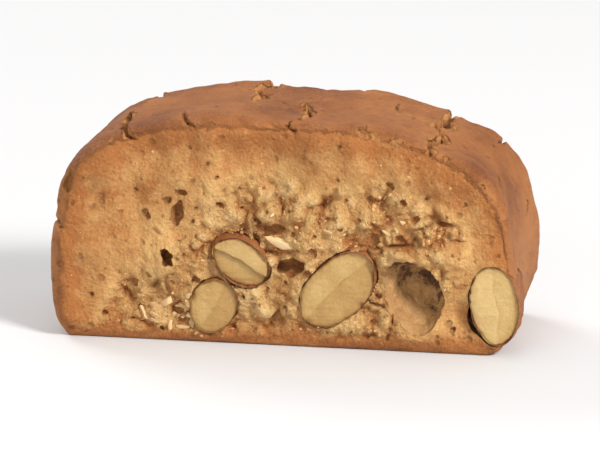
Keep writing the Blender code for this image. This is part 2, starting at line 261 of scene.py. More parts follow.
def closedRings(rings, around):
    # faces over rings of points, then over the pole before the first ring and the pole after the last; a
    # pole's faces repeat their last corner so that every row holds four
    index = np.arange(rings * around).reshape(rings, around)
    ahead = np.roll(index, -1, axis=1)
    sides = np.stack([index[:-1], index[1:], ahead[1:], ahead[:-1]], axis=-1).reshape(-1, 4)
    top, bottom = rings * around, rings * around + 1
    first = np.stack([np.full(around, top), index[0], ahead[0], ahead[0]], axis=-1)
    last = np.stack([np.full(around, bottom), ahead[-1], index[-1], index[-1]], axis=-1)
    return np.concatenate([sides, first, last])


def roundGrid(around, down):
    # a closed ball of rings between two poles: directions from its middle, and its faces
    tall = np.pi * np.arange(1, down) / down
    turn = 2 * np.pi * np.arange(around) / around
    tall, turn = np.meshgrid(tall, turn, indexing="ij")
    ring = np.stack([np.sin(tall) * np.cos(turn), np.sin(tall) * np.sin(turn), np.cos(tall)], axis=-1)
    return np.concatenate([ring.reshape(-1, 3), [[0, 0, 1], [0, 0, -1]]]), closedRings(down - 1, around)


def copiedFaces(faces, copies, each):
    # the same faces over one copy after another, each of this many points
    return (faces[None] + (np.arange(copies) * each)[:, None, None]).reshape(-1, 4)


def spun(shapes, turns, tips):
    # turned about Y, then tipped about X, each by its own angle
    c, s = np.cos(turns)[:, None], np.sin(turns)[:, None]
    x, y, z = shapes[..., 0] * c + shapes[..., 2] * s, shapes[..., 1], shapes[..., 2] * c - shapes[..., 0] * s
    c, s = np.cos(tips)[:, None], np.sin(tips)[:, None]
    return np.stack([x, y * c - z * s, y * s + z * c], axis=-1)


# the loaf's cross-section and the slice cut from it

loaf = {
    # sizes in millimetres, and the powers that round the flanks and the two halves of the dome
    "halfLength": 25.6, "height": 25.4, "thickness": 18.4, "beltHeight": 8.4,
    "baseLeft": 24.0, "baseRight": 22.2, "flankPower": 2.2, "domeLeft": 3.3, "domeRight": 2.6,
    "rimTop": 1.5, "rimBase": 0.5, "underFade": 2.5, "fineFade": 0.9,
    "heart": 0.42,  # the share of the height that the points of a cut spread out from
    "crowding": 0.55,  # how much closer the points on the crust lie near the cuts
    # seed, count, longest, shortest, height of the sine waves
    "swells": (11, 7, 30.0, 9.0, 0.17), "crumbWaves": (27, 12, 9.0, 3.6, 0.13),
    "quarterPoints": 600, "outlineSteps": 116, "cells": (216, 50, 96),
}
halfThick = loaf["thickness"] / 2


def loafOutline():
    # underside, right flank, dome and left flank, each a quarter superellipse: its share of the reach is
    # the sine or cosine of a turn, to a power
    steps = loaf["quarterPoints"]
    turn = 0.5 * np.pi * np.arange(steps) / steps
    over = 0.5 * np.pi * np.arange(2 * steps) / steps
    half, belt, flank = loaf["halfLength"], loaf["beltHeight"], 2 / loaf["flankPower"]
    left, right = loaf["baseLeft"], loaf["baseRight"]
    power = np.where(np.arange(2 * steps) <= steps, 2 / loaf["domeRight"], 2 / loaf["domeLeft"])
    side = np.cos(over)
    down = 0.5 * np.pi - turn
    x = [np.linspace(-left, right, steps, endpoint=False), right + (half - right) * np.sin(turn) ** flank,
         half * np.sign(side) * np.abs(side) ** power, -left - (half - left) * np.sin(down) ** flank]
    z = [0 * turn, belt * (1 - np.cos(turn) ** flank),
         belt + (loaf["height"] - belt) * np.sin(over) ** power, belt * (1 - np.cos(down) ** flank)]
    points = np.stack([np.concatenate(x), np.concatenate(z)], axis=1)
    points = np.concatenate([points, points[:1]])
    length = np.concatenate([[0], np.cumsum(np.linalg.norm(np.diff(points, axis=0), axis=1))])
    return points, length


outline, outlineLength = loafOutline()
perimeter = outlineLength[-1]


def outlineAt(arc):
    # the outline's point this far round it from the lower left corner, and its outward normal
    def point(place):
        # the outline's x and z this far round it, straight between its nearest two points
        place = np.mod(place, perimeter)
        return np.stack([np.interp(place, outlineLength, outline[:, n]) for n in (0, 1)], axis=1)
    step = 0.5 * perimeter / loaf["outlineSteps"]
    along = point(arc + step) - point(arc - step)
    normal = np.stack([along[:, 1], -along[:, 0]], axis=1)
    return point(arc), normal / np.linalg.norm(normal, axis=1, keepdims=True)


def outlineRing(count):
    # this many points at equal steps round the outline
    return outlineAt(np.linspace(0, perimeter, count, endpoint=False))[0]


def rimDistance(x, z, samples=420, batch=4000):
    # how far each point of a cut lies from the outline, a batch of points at a time
    edge = outlineRing(samples)
    nearest = [np.min(np.hypot(part[:, :1] - edge[:, 0], part[:, 1:] - edge[:, 1]), axis=1)
               for part in np.array_split(np.stack([x, z], axis=1), 1 + len(x) // batch)]
    return np.concatenate(nearest)


def insideOutline(x, z, samples=180):
    # inside the loaf's section, by the turning of the outline about each point: a whole turn, or none outside
    edge = outlineRing(samples)
    angle = np.arctan2(edge[:, 1] - z[:, None], edge[:, 0] - x[:, None])
    turn = np.diff(np.concatenate([angle, angle[:, :1]], axis=1), axis=1)
    return np.abs(np.sum((turn + np.pi) % (2 * np.pi) - np.pi, axis=1)) > np.pi


def rimRadius(height):
    # the rounding between crust and cut, small at the underside and growing up to the belt
    return loaf["rimBase"] + (loaf["rimTop"] - loaf["rimBase"]) * smooth(height / loaf["beltHeight"])


def boxLattice(cells):
    # the whole-number points on the skin of a box, joined along its edges, and the four-sided faces between
    # them
    keys, faces, start = [], [], 0
    for fixed in range(3):
        a, b = [n for n in range(3) if n != fixed]
        for level in (0, cells[fixed]):
            key = np.empty((cells[a] + 1, cells[b] + 1, 3), int)
            key[..., fixed] = level
            steps = [np.arange(cells[n] + 1) for n in (a, b)]
            key[..., a], key[..., b] = np.meshgrid(*steps, indexing="ij")
            index = start + np.arange(key[..., 0].size).reshape(key.shape[:2])
            if (level == 0) != (fixed == 1):
                index = index[:, ::-1]
            quads = np.stack([index[:-1, :-1], index[1:, :-1], index[1:, 1:], index[:-1, 1:]], axis=-1)
            keys.append(key.reshape(-1, 3))
            faces.append(quads.reshape(-1, 4))
            start += key[..., 0].size
    unique, first = np.unique(np.concatenate(keys), axis=0, return_inverse=True)
    return unique, first.reshape(-1)[np.concatenate(faces)]


def sliceSurface(cells):
    # each lattice point goes the same share of the way from the slice's heart to the outline as it lies
    # from the lattice's middle to its edge, and both rims are turned over in a quarter circle
    key, faces = boxLattice(cells)
    nx, ny, nz = cells
    tiny = 1e-9
    across, up = 2 * key[:, 0] / nx - 1, 2 * key[:, 2] / nz - 1
    ring = np.maximum(np.maximum(abs(across), abs(up)), tiny)
    u, w = across / ring, up / ring
    place = np.select(
        [w <= -1 + tiny, u >= 1 - tiny, w >= 1 - tiny],
        [(u + 1) / 2 * nx, nx + (w + 1) / 2 * nz, nx + nz + (1 - u) / 2 * nx],
        2 * nx + nz + (1 - w) / 2 * nz,
    )
    arc = place / (2 * (nx + nz)) * perimeter
    edge, normal = outlineAt(arc)
    heart = np.array([0.0, loaf["height"] * loaf["heart"]])
    flat = heart + (edge - heart) * np.minimum(ring, 1.0)[:, None]
    inset = np.sum((edge - flat) * normal, axis=1)
    side = 2 * key[:, 1] / ny - 1
    inward = 1 - np.abs(side)
    behind = halfThick * ((1 - loaf["crowding"]) * inward + loaf["crowding"] * inward ** 2)
    radius = rimRadius(edge[:, 1])
    onCut = (key[:, 1] == 0) | (key[:, 1] == ny)
    reach = np.minimum(1.0, np.where(onCut, inset, behind) / radius)
    turn = np.radians(45 + 45 * reach * np.where(onCut, 1, -1))
    newInset = np.where(onCut & (reach >= 1), inset, radius * (1 - np.cos(turn)))
    newBehind = np.where(~onCut & (reach >= 1), behind, radius * (1 - np.sin(turn)))
    flat = flat - normal * (newInset - inset)[:, None]
    y = np.sign(side) * (halfThick - newBehind)
    y[side == 0] = 0.0
    points = np.stack([flat[:, 0], y, flat[:, 1]], axis=1)
    return points, faces, np.degrees(turn) / 90, arc, newInset, newBehind


# almonds: where each lies, as in the solids

almondParts = ("side", "x", "z", "deep", "size", "turn", "lean",
               "step", "seam", "open", "peel", "tilt", "toast")
almonds = {
    # side of the slice, x, z and depth of the middle, length, width and thickness, turn of its width, lean
    # of its length along x and z; then how far one half of the nut stands behind the other, how open their
    # seam is, where round the nut and how far the crumb has come away, how much of the skin's edge is gone,
    # how much its cut leans back along x and z, and how toasted the flesh is
    "almond_front_end": (-1, 23.4, 5.7, 4.0, (18.5, 9.2, 5.6), 97, (-4, 6),
                         0.05, 0.2, (215, 0.55), 0.04, (0.03, -0.01), 0.10),
    "almond_front_middle": (-1, 5.9, 6.7, 3.2, (17.5, 10.4, 6.3), 47, (8, 10),
                            0.14, 0.25, (110, 0.34), 0.14, (-0.02, 0.03), 0.42),
    "almond_front_left": (-1, -4.9, 9.3, 3.4, (16.5, 7.0, 4.9), -26, (-6, 12),
                          0.42, 0.6, (235, 0.34), 0.0, (0.03, 0.04), 0.36),
    "almond_front_low": (-1, -7.8, 4.2, 3.8, (15.5, 6.4, 5.2), 62, (-12, 4),
                         0.07, 0.15, (150, 0.18), 0.32, (0.02, 0.02), 0.50),
    "almond_back_long": (1, -8.5, 14.4, 1.7, (19.0, 9.6, 6.6), 76, (70, 6),
                         0.25, 0.3, (60, 0.25), 0.12, (0.0, 0.02), 0.30),
    "almond_back_round": (1, 12.6, 7.4, 2.2, (13.0, 10.2, 6.6), 24, (14, 4),
                          0.12, 0.25, (200, 0.3), 0.24, (0.02, -0.02), 0.40),
    "almond_back_tip": (1, 17.4, 15.4, 3.6, (15.0, 7.6, 5.6), -48, (-10, -10),
                        0.2, 0.5, (330, 0.35), 0.02, (-0.02, 0.0), 0.22),
}
almonds = {name: dict(zip(almondParts, row)) for name, row in almonds.items()}
almondPrint = dict(zip(almondParts, (-1, 14.7, 6.6, -3.4, (16.5, 10.4, 7.6), 105, (20, 12))))
almondLook = {
    # how far the flesh stands in front of the cut, points around, rings down the skin and over the lid
    "proud": 0.12, "around": 150, "down": 26, "rings": 40,
    "narrowing": (0.20, 0.16), "uneven": ((0.30, 3.2, 83), (0.12, 1.3, 84)),  # height, size, seed
    # gap between nut and dough, how much it varies, rings down
    "pocket": (-0.03, 0.20, 9), "print": (0.0, 0.40, 26), "pocketAround": 88, "mouth": 3.0,
    "pocketNoise": ((1.0, 1.7, 81), (0.5, 0.6, 82)),
}


def cutPoint(row, proud=0.0):
    # where the nut's axis meets the cut, or this far in front of it
    return np.array([row["x"], row["side"] * (halfThick + proud), row["z"]])


def almondFrame(row):
    # the nut's middle, and its width, thickness and length directions as the columns of a matrix
    leanX, leanZ = [math.tan(math.radians(a)) for a in row["lean"]]
    lengthway = np.array([leanX, -row["side"], leanZ])
    lengthway /= np.linalg.norm(lengthway)
    turn = math.radians(row["turn"])
    widthway = np.array([math.cos(turn), 0.0, math.sin(turn)])
    widthway -= lengthway * (widthway @ lengthway)
    widthway /= np.linalg.norm(widthway)
    middle = cutPoint(row) + lengthway * (row["deep"] / abs(lengthway[1]))
    return middle, np.stack([widthway, np.cross(lengthway, widthway), lengthway], axis=1)


def almondDepth(row, points):
    # 1 on the nut's skin, less inside: the squares of the shares of its half sizes, where the width and the
    # thickness narrow towards the pointed end
    middle, ways = almondFrame(row)
    length, width, thick = [0.5 * s for s in row["size"]]
    local = (points - middle) @ ways
    along = np.clip(local[..., 2] / length, -1.3, 1.3)
    even, tip = almondLook["narrowing"]
    narrow = np.maximum(1 - even * along - tip * np.maximum(along, 0) ** 3, 0.2)
    shares = local[..., 0] / width / narrow, local[..., 1] / thick / narrow, local[..., 2] / length
    return shares[0] ** 2 + shares[1] ** 2 + shares[2] ** 2


def nutAway(row, points):
    # about how far outside the nut each point lies
    return (np.sqrt(almondDepth(row, points)) - 1) * 0.42 * row["size"][1]


def nutSkin(row, start, ways):
    # from a point inside the nut, how far each direction runs to the skin, by halving the span that holds
    # it, and then a little uneven with soft noise, for the nut and its pocket alike
    low, high = np.zeros(ways.shape[:-1]), np.full(ways.shape[:-1], 24.0)
    for halving in range(26):
        middle = 0.5 * (low + high)
        inside = almondDepth(row, start + ways * middle[..., None]) < 1
        low, high = np.where(inside, middle, low), np.where(inside, high, middle)
    reach = 0.5 * (low + high)
    points = (start + ways * reach[..., None]).reshape(-1, 3)
    return reach + noiseSum(points, *almondLook["uneven"]).reshape(reach.shape)


# crust: cracks, plates and lost flakes

crust = {
    # stations along a crack and how far they wander, depth of the skin, rim cutters, and how many nicks
    # each has and how far apart
    "stations": 9, "wander": 1.1, "skin": 0.16, "bites": 7, "nicks": 4, "nickApart": 3,
    # share of the dome from right to left, first and last share of the depth, gape, depth, seed
    "cracks": [(0.26, -0.05, 1.05, 0.95, 1.5, 3), (0.47, -0.05, 0.62, 0.75, 1.2, 8),
               (0.56, 0.45, 1.05, 0.80, 1.2, 12), (0.74, -0.05, 1.05, 0.95, 1.5, 5)],
    "plateSteps": (0.20, -0.14, 0.16, -0.22),
    # share of the dome and of the depth at each end, half width
    "hairlines": [
        (0.26, 0.42, 0.335, 0.60, 0.17), (0.335, 0.60, 0.345, 0.78, 0.13), (0.74, 0.30, 0.80, 0.12, 0.16),
        (0.74, 0.66, 0.665, 0.80, 0.15), (0.47, 0.40, 0.52, 0.55, 0.17), (0.52, 0.55, 0.56, 0.62, 0.15),
        (0.12, 0.15, 0.15, 0.42, 0.15), (0.90, 0.55, 0.885, 0.86, 0.15), (0.40, 0.88, 0.41, 1.04, 0.16),
        (0.64, -0.04, 0.655, 0.17, 0.17), (0.17, 0.80, 0.16, 1.04, 0.15), (0.95, -0.04, 0.94, 0.20, 0.15),
        (0.36, -0.04, 0.365, 0.10, 0.15), (0.05, 0.62, 0.07, 0.80, 0.12)],
    # side, share of the dome, half sizes along, across and into the crust
    "flakes": [(-1, 0.34, 2.3, 1.3, 0.75), (-1, 0.88, 1.7, 1.0, 0.5), (1, 0.16, 2.1, 1.2, 0.7),
               (1, 0.63, 2.6, 1.4, 0.8)],
    # height, size, seed and layers of the noises: the lines' wander, the bare places' edge, the skin's
    # wrinkles
    "jagged": ((0.50, 1.6, 61), (0.13, 0.6, 62)), "ragged": ((0.40, 1.5, 63), (0.24, 0.6, 64)),
    "wrinkles": ((0.15, 5.5, 50, 2), (0.12, 2.6, 51, 3), (0.05, 0.9, 52, 2)),
}


def domeArc(share):
    # the arc length at a share of the dome, from its right foot at the belt to its left foot
    arcs = np.arange(loaf["outlineSteps"]) * perimeter / loaf["outlineSteps"]
    belt = np.nonzero(outlineAt(arcs)[0][:, 1] >= loaf["beltHeight"])[0]
    return arcs[belt[0]] + share * (arcs[belt[-1]] - arcs[belt[0]])


def crackLines():
    # each crack as stations through the slice: arc length, y, half width and depth, uneven and weaker at
    # its ends unless it runs out over a cut
    lines = []
    for share, first, last, gape, depth, seed in crust["cracks"]:
        draw = random.Random(seed)
        rows = []
        for n in range(crust["stations"]):
            along = n / (crust["stations"] - 1)
            arc = domeArc(share) + draw.uniform(-crust["wander"], crust["wander"])
            openEnd = (first < 0 and n == 0) or (last > 1 and n == crust["stations"] - 1)
            strength = 0.75
            if not openEnd:
                strength = max(0.25, math.sin(math.pi * along) ** 0.6) * draw.uniform(0.75, 1.2)
            y = loaf["thickness"] * (first + (last - first) * along - 0.5)
            rows.append((arc, y, 0.5 * gape * strength, depth * strength))
        lines.append(np.array(rows))
    return lines


def hairLines():
    # finer cracks, tapering to both ends
    lines = []
    for share, depth, toShare, toDepth, half in crust["hairlines"]:
        start = np.array([domeArc(share), loaf["thickness"] * (depth - 0.5)])
        end = np.array([domeArc(toShare), loaf["thickness"] * (toDepth - 0.5)])
        part = np.linspace(0, 1, 5)[:, None]
        width = half * (0.5 + np.sin(np.pi * part))
        lines.append(np.hstack([start + part * (end - start), width, 2.2 * width]))
    return lines


def alongLine(line, arc, y):
    # for every point the distance to the line, and the line's half width and depth at its nearest place
    away, half, deep = np.full(len(arc), 99.0), np.zeros(len(arc)), np.zeros(len(arc))
    for a, b in zip(line, line[1:]):
        run = b[:2] - a[:2]
        part = np.clip(((arc - a[0]) * run[0] + (y - a[1]) * run[1]) / (run @ run), 0, 1)
        here = np.hypot(arc - a[0] - part * run[0], y - a[1] - part * run[1])
        closer = here < away
        away = np.where(closer, here, away)
        half = np.where(closer, a[2] + part * (b[2] - a[2]), half)
        deep = np.where(closer, a[3] + part * (b[3] - a[3]), deep)
    return away, half, deep


def crustBreaks(points, arc, y, rim):
    # cut: the depth of the cracks, falling from their lips to their lines; bare: millimetres to the edge of
    # the nearest place that has lost its skin, less than nothing inside it; plates: the crust beside a
    # crack stands up on one side and sinks on the other
    jagged = arc + noiseSum(points, *crust["jagged"])
    ragged = 0.16 + noiseSum(points, *crust["ragged"])
    cut, bare, plates = np.zeros(len(arc)), np.full(len(arc), 9.0), np.zeros(len(arc))
    for line, step in zip(crackLines(), crust["plateSteps"]):
        away, half, deep = alongLine(line, jagged, y)
        cut = np.maximum(cut, deep * np.clip(1 - away / (half * 1.2), 0, 1) ** 0.8)
        bare = np.minimum(bare, away - 0.95 * half - ragged)
        signed = jagged - np.interp(y, line[:, 1], line[:, 0])
        within = rise(y, line[0, 1] - 1, line[0, 1] + 1.5) * (1 - rise(y, line[-1, 1] - 1.5, line[-1, 1] + 1))
        plates += step * np.tanh(signed / 0.35) * np.exp(-np.abs(signed) / 2.6) * within
        plates += 0.14 * np.exp(-((away - 1.5 * half) / 0.5) ** 2) * within
    for line in hairLines():
        away, half, deep = alongLine(line, jagged, y + 0.35 * softNoise(points, 1.1, 65))
        cut = np.maximum(cut, deep * np.clip(1 - away / (half * 1.5), 0, 1))
        bare = np.minimum(bare, away - 0.55 * half - 0.3 * np.maximum(ragged - 0.3, 0))
    for side, share, along, across, into in crust["flakes"]:
        oval = np.hypot((arc - domeArc(share)) / along, (y - side * (halfThick - 0.2)) / across)
        field = (1 - oval) * across + 0.5 * softNoise(points, 1.4, 66)
        cut = np.maximum(cut, 0.45 * into * smooth(field / 0.9))
    fade = 1 - rise(rim, 0.4, 2.0)
    return cut * fade, np.where(rim > 1.2, 9.0, bare), plates * fade


def rimBites(points, rim):
    # where the knife broke the crust's edge: soft noise over a threshold, near the rim only
    rough = np.clip(layeredNoise(points, 2.9, 56, 4) - 0.22, 0, 0.7)
    near = (1 - rise(np.abs(rim), 0.2, 1.5)) * rise(points[:, 2], 1.5, 4.0)
    return (0.5 + 0.5 * lumps(points, 0.8, 67)) * rough * near


# crumb: what the knife bared

crumbLook = {
    # side, x, z, half width, half height, depth, turn of each hole
    "holes": [(-1, 0.7, 9.1, 1.8, 1.0, 1.9, 12), (-1, -1.5, 13.1, 1.6, 0.8, 1.5, -8),
              (-1, -12.9, 9.7, 0.95, 0.95, 1.3, 0), (-1, -11.9, 14.4, 0.75, 1.4, 1.0, -20),
              (-1, -15.4, 14.3, 0.6, 0.6, 0.8, 0), (-1, 9.6, 12.6, 1.1, 0.7, 1.0, 20),
              (1, 2.4, 12.8, 1.5, 0.9, 1.6, 25), (1, 0.8, 4.6, 1.1, 0.8, 1.2, 0),
              (1, -17.6, 7.0, 1.4, 0.9, 1.3, -30), (1, 19.4, 8.2, 0.9, 0.9, 1.1, 0)],
    "poresASide": 72, "poreApart": 1.7,
    # side, x, z, reach along, reach up of the coarse pale patches
    "coarse": [(-1, 1.5, 7.8, 18.5, 9.6), (-1, -11.0, 3.6, 9.5, 4.2), (-1, 9.0, 13.6, 10.0, 5.0),
               (1, -3.0, 9.5, 19.0, 10.0), (1, 11.0, 13.5, 9.5, 6.5)],
    # size, seed and reach of the two warps, size and seed of the three lumps, and the lumps' mean height
    "warps": ((1.8, 40, 0.5), (0.9, 49, 0.22)), "lumps": ((2.5, 41), (1.2, 42), (0.62, 43)), "lumpMean": 0.42,
    # how high the lumps stand in the coarse patches, and the two finer ones outside them
    "coarseHeights": (0.64, 0.40, 0.20), "smoothHeights": (0.10, 0.06),
}


def coarseness(points, inset, low=0.75, high=1.15):
    # 1 where the cut tore the crumb open, 0 where it left it smooth and toasted: soft-edged ovals, off the
    # rim
    torn = np.zeros(len(points))
    wander = 0.22 * layeredNoise(points, 4.5, 31, 3)
    for side, x, z, wide, tall in crumbLook["coarse"]:
        oval = np.hypot((points[:, 0] - x) / wide, (points[:, 2] - z) / tall) + wander
        torn = np.maximum(torn, (np.sign(points[:, 1]) == side) * (1 - rise(oval, low, high)))
    return torn * rise(inset, 0.5, 2.2)


def crumbCut(points, inset):
    # lumps of three sizes, rough between, with torn fissures and shallow pores cut into them; gives the
    # height of the crumb over a smooth cut without its pits, the depth of the pits, and the coarseness
    coarse = coarseness(points, inset)
    torn, bent = [warped(points, *row) for row in crumbLook["warps"]]
    rows = zip((torn, bent, points), crumbLook["lumps"])
    domes = [lumps(place, *row) - crumbLook["lumpMean"] for place, row in rows]
    peak = coarse * sum(height * dome for height, dome in zip(crumbLook["coarseHeights"], domes))
    gate = rise(layeredNoise(points, 3.6, 60, 2), -0.05, 0.35)
    peak -= coarse * gate * (0.42 * creases(torn, 2.5, 41, 0.7) + 0.22 * creases(bent, 1.2, 42, 0.4))
    peak += (0.35 + 0.65 * coarse) * 0.11 * layeredNoise(points, 1.5, 44, 3)
    fine = sum(height * dome for height, dome in zip(crumbLook["smoothHeights"], domes[1:]))
    peak += (1 - coarse) * (0.07 * layeredNoise(points, 2.4, 45, 2) + fine)
    fissure = np.clip(1 - np.abs(layeredNoise(torn, 3.4, 53, 2)) / 0.15, 0, 1) ** 0.7
    fissure *= 0.75 * rise(softNoise(points, 4.6, 54), 0.05, 0.5) * (0.15 + 0.85 * coarse)
    away, _, own = pebbleNoise(warped(points * np.array([0.75, 1.0, 1.1]), 0.7, 55, 0.28), 1.8, 46)
    chance = np.clip((own - np.where(coarse > 0.4, 0.60, 0.80)) / 0.48, 0, 1)
    radius = np.where(chance > 0, 0.22 + 0.36 * chance, 0)
    pores = 1.1 * np.sqrt(np.clip(radius ** 2 - away ** 2, 0, 9)) * rise(inset, 0.8, 1.6)
    # here and there the crumb climbs up the nuts' edges
    hug = 0.20 * np.clip(0.5 + 0.9 * softNoise(points, 1.4, 47), 0, 1.2)
    for row in almonds.values():
        near = np.exp(-(nutAway(row, points) / 0.55) ** 2)
        peak = peak + (np.sign(points[:, 1]) == row["side"]) * hug * near
    return peak, np.maximum(pores, fissure), coarse


waves = {name: waveSet(*loaf[name]) for name in ("swells", "crumbWaves")}


def swell(points, cut):
    # the whole slice's unevenness and the cuts' own, fading out towards the flat underside
    lift = relief(waves["swells"], points) + relief(waves["crumbWaves"], points) * cut
    return lift * smooth(points[:, 2] / loaf["underFade"])


def doughShape(points, normals, cutShare, arc, inset, behind):
    # swells, crumb waves and crumb on the cuts; wrinkles, blisters, cracks and lost skin on the crust; all
    # fading out towards the flat underside
    cut = smooth(2 * cutShare - 1)
    rim = inset - behind
    low = smooth(points[:, 2] / loaf["fineFade"])
    peak, pit, coarse = crumbCut(points, inset)
    blister, _, own = pebbleNoise(points, 3.1, 57)
    wrinkle = noiseSum(points, *crust["wrinkles"])
    wrinkle += 0.13 * (own > 0.72) * np.clip(1 - (blister / (0.35 + 0.6 * own)) ** 2, 0, 1)
    cracks, bare, plates = crustBreaks(points, arc, points[:, 1], rim)
    bites = rimBites(points, rim)
    lostSkin = (1 - rise(bare, -0.12, 0.12)) * (crust["skin"] - 0.16 * (lumps(points, 0.9, 58) - 0.4))
    lift = swell(points, cut)
    lift += low * ((peak - pit) * cut + (wrinkle + plates - lostSkin) * (1 - cut) - cracks - bites)
    # the crust swells into a lip round the nut that comes out of the end
    lip = np.exp(-((nutAway(almonds["almond_front_end"], points) - 0.15) / 0.5) ** 2)
    lift += 0.26 * lip * (1 - cut) * (points[:, 1] < 0) * low
    bake = 0.34 + 0.30 * rise(points[:, 2], 5, 22) + 0.30 * layeredNoise(points, 8.0, 59, 3)
    bake += 0.30 * (1 - rise(points[:, 2], 0, 1.6)) - 0.22 * np.exp(-np.maximum(bare, 0) / 0.8)
    cream = cut * coarseness(points, inset, 0.85, 1.35)
    # pit and peak also paint the finish: shade into the pits and hollows, a highlight onto the peaks
    marks = dict(rim=rim, pit=pit * cut, coarse=coarse * cut, cream=cream, peak=peak * cut, bare=bare,
                 crack=cracks, bite=bites, bake=bake, pocket=0, paintedPocketShade=0, known=1)
    return points + normals * lift[:, None], marks


def makeDough():
    # the slice's surface, moved along its normals by the relief of crust and crumb
    points, faces, cutShare, arc, inset, behind = sliceSurface(loaf["cells"])
    shaped, marks = doughShape(points, vertexNormals(points, faces), cutShare, arc, inset, behind)
    return linked("doughBody", closedMesh("doughBody", shaped, faces, marks))


print("dough surface")
dough = makeDough()


# places on the cuts

# side, x, z and half sizes of each hole; the pores join them once drawn
hollows = [hole[:5] for hole in crumbLook["holes"]]


def cutLevel(side, x, z):
    # the finished cut at these places: its y, coarseness, pits and distance from the outline
    flat = np.stack([x, np.full(len(x), side * halfThick), z], axis=1)
    inset = rimDistance(x, z)
    peak, pit, coarse = crumbCut(flat, inset)
    height = halfThick + swell(flat, 1) + (peak - pit) * smooth(z / loaf["fineFade"])
    return side * height, coarse, pit, inset


def keptSpots(side, x, z, clear):
    # of these places, the ones on the crumb: inside the rim, out of holes, and off the nuts and the print;
    # and how coarse the crumb is there
    inside = insideOutline(x, z)
    x, z = x[inside], z[inside]
    y, coarse, pit, inset = cutLevel(side, x, z)
    flat = np.stack([x, np.full(len(x), side * halfThick), z], axis=1)
    keep = (inset > 1.4) & (pit < 0.25) & (z > 0.6)
    for hollowSide, middleX, middleZ, wide, tall in hollows:
        if hollowSide == side:
            keep &= np.hypot((x - middleX) / (wide + 0.25), (z - middleZ) / (tall + 0.25)) > 1
    for row in list(almonds.values()) + [almondPrint]:
        if row["side"] == side:
            keep &= almondDepth(row, flat) > clear
    return np.stack([x, y, z], axis=1)[keep], coarse[keep]


# pockets for the almonds, holes, and bites out of the rim

cutterMarks = dict(pit=0, coarse=0, cream=0, peak=0, bare=9, crack=0, bite=0, bake=0.5, rim=9, pocket=0,
                   paintedPocketShade=0, known=1)


def almondGrid(row, around, down):
    # directions over the half of the ball that lies behind the cut, from straight in to level with the cut
    tall = 0.5 * np.pi * np.arange(1, down + 1) / down
    turn = 2 * np.pi * np.arange(around) / around
    tall, turn = np.meshgrid(tall, turn, indexing="ij")
    across, into = np.sin(tall), np.cos(tall)
    return np.stack([across * np.cos(turn), -row["side"] * into, across * np.sin(turn)], axis=-1)


def pocketCutter(name, row):
    # the nut with a varying gap round it, here and there less than nothing, so that crumb laps over the
    # nut's edge; the part in front of the cut is drawn straight out
    isPrint = row is almondPrint
    gap, gapVaries, down = almondLook["print" if isPrint else "pocket"]
    start, around = cutPoint(row), almondLook["pocketAround"]
    ways = almondGrid(row, around, down)
    reach = nutSkin(row, start, ways)
    flat = (start + ways * reach[..., None]).reshape(-1, 3)
    vary = gap + gapVaries * noiseSum(flat, *almondLook["pocketNoise"])
    if isPrint:
        vary += 0.13 * softNoise(flat * np.array([1.0, 0.3, 1.0]), 0.65, 89)
    else:
        angle, opening = math.radians(row["open"][0]), row["open"][1]
        vary += 0.30 * rise(np.abs(flat[:, 1] - start[1]), 0.4, 1.6)
        facing = (ways[..., 0] * math.cos(angle) + ways[..., 2] * math.sin(angle)).reshape(-1)
        vary += opening * np.clip(facing + 0.25 * softNoise(flat, 1.1, 96), 0, 1) ** 3
    points = start + ways * (reach + vary.reshape(reach.shape))[..., None]
    inward = np.array([[0.0, -row["side"], 0.0]])
    front = points[-1] - almondLook["mouth"] * inward
    deepest = start + inward[0] * (nutSkin(row, start, inward)[0] + gap)
    mouth = start - almondLook["mouth"] * inward[0]
    allPoints = np.concatenate([points.reshape(-1, 3), front, [deepest, mouth]])
    # painted shade where the hollows' walls lie in shadow: on the print's upper right wall, and deep in the
    # others
    away = (allPoints - start) / 5.2
    paintedPocketShade = 0.12 + 0.66 * away[:, 0] + 0.80 * away[:, 2] if isPrint else np.abs(away[:, 1]) * 1.3 - 0.3
    marks = {**cutterMarks, "pocket": 1, "paintedPocketShade": paintedPocketShade}
    mesh = closedMesh(name, allPoints, closedRings(down + 1, around), marks, shaded=False)
    return bpy.data.objects.new(name, mesh)


def hollowCutter(name, places, sizes, turns, around, down, seed, **own):
    # uneven balls: how far each direction reaches is changed by soft noise, then the ball is stretched,
    # turned about Y and put in place
    ways, faces = roundGrid(around, down)
    spots = (ways[None] + 7.3 * np.arange(1, len(places) + 1)[:, None, None]).reshape(-1, 3)
    reach = 1 + noiseSum(spots, (0.42, 0.9, seed), (0.22, 0.4, seed + 1))
    shapes = (ways[None] * reach.reshape(len(places), -1)[..., None]) * sizes[:, None, :]
    points = (spun(shapes, -turns, np.zeros(len(places))) + places[:, None, :]).reshape(-1, 3)
    # painted shade for holes and pores: a peak below nothing and the pit mark that each caller gives
    marks = {**cutterMarks, "coarse": 0.7, "peak": -0.1, **own}
    mesh = closedMesh(name, points, copiedFaces(faces, len(places), len(ways)), marks, shaded=False)
    return bpy.data.objects.new(name, mesh)


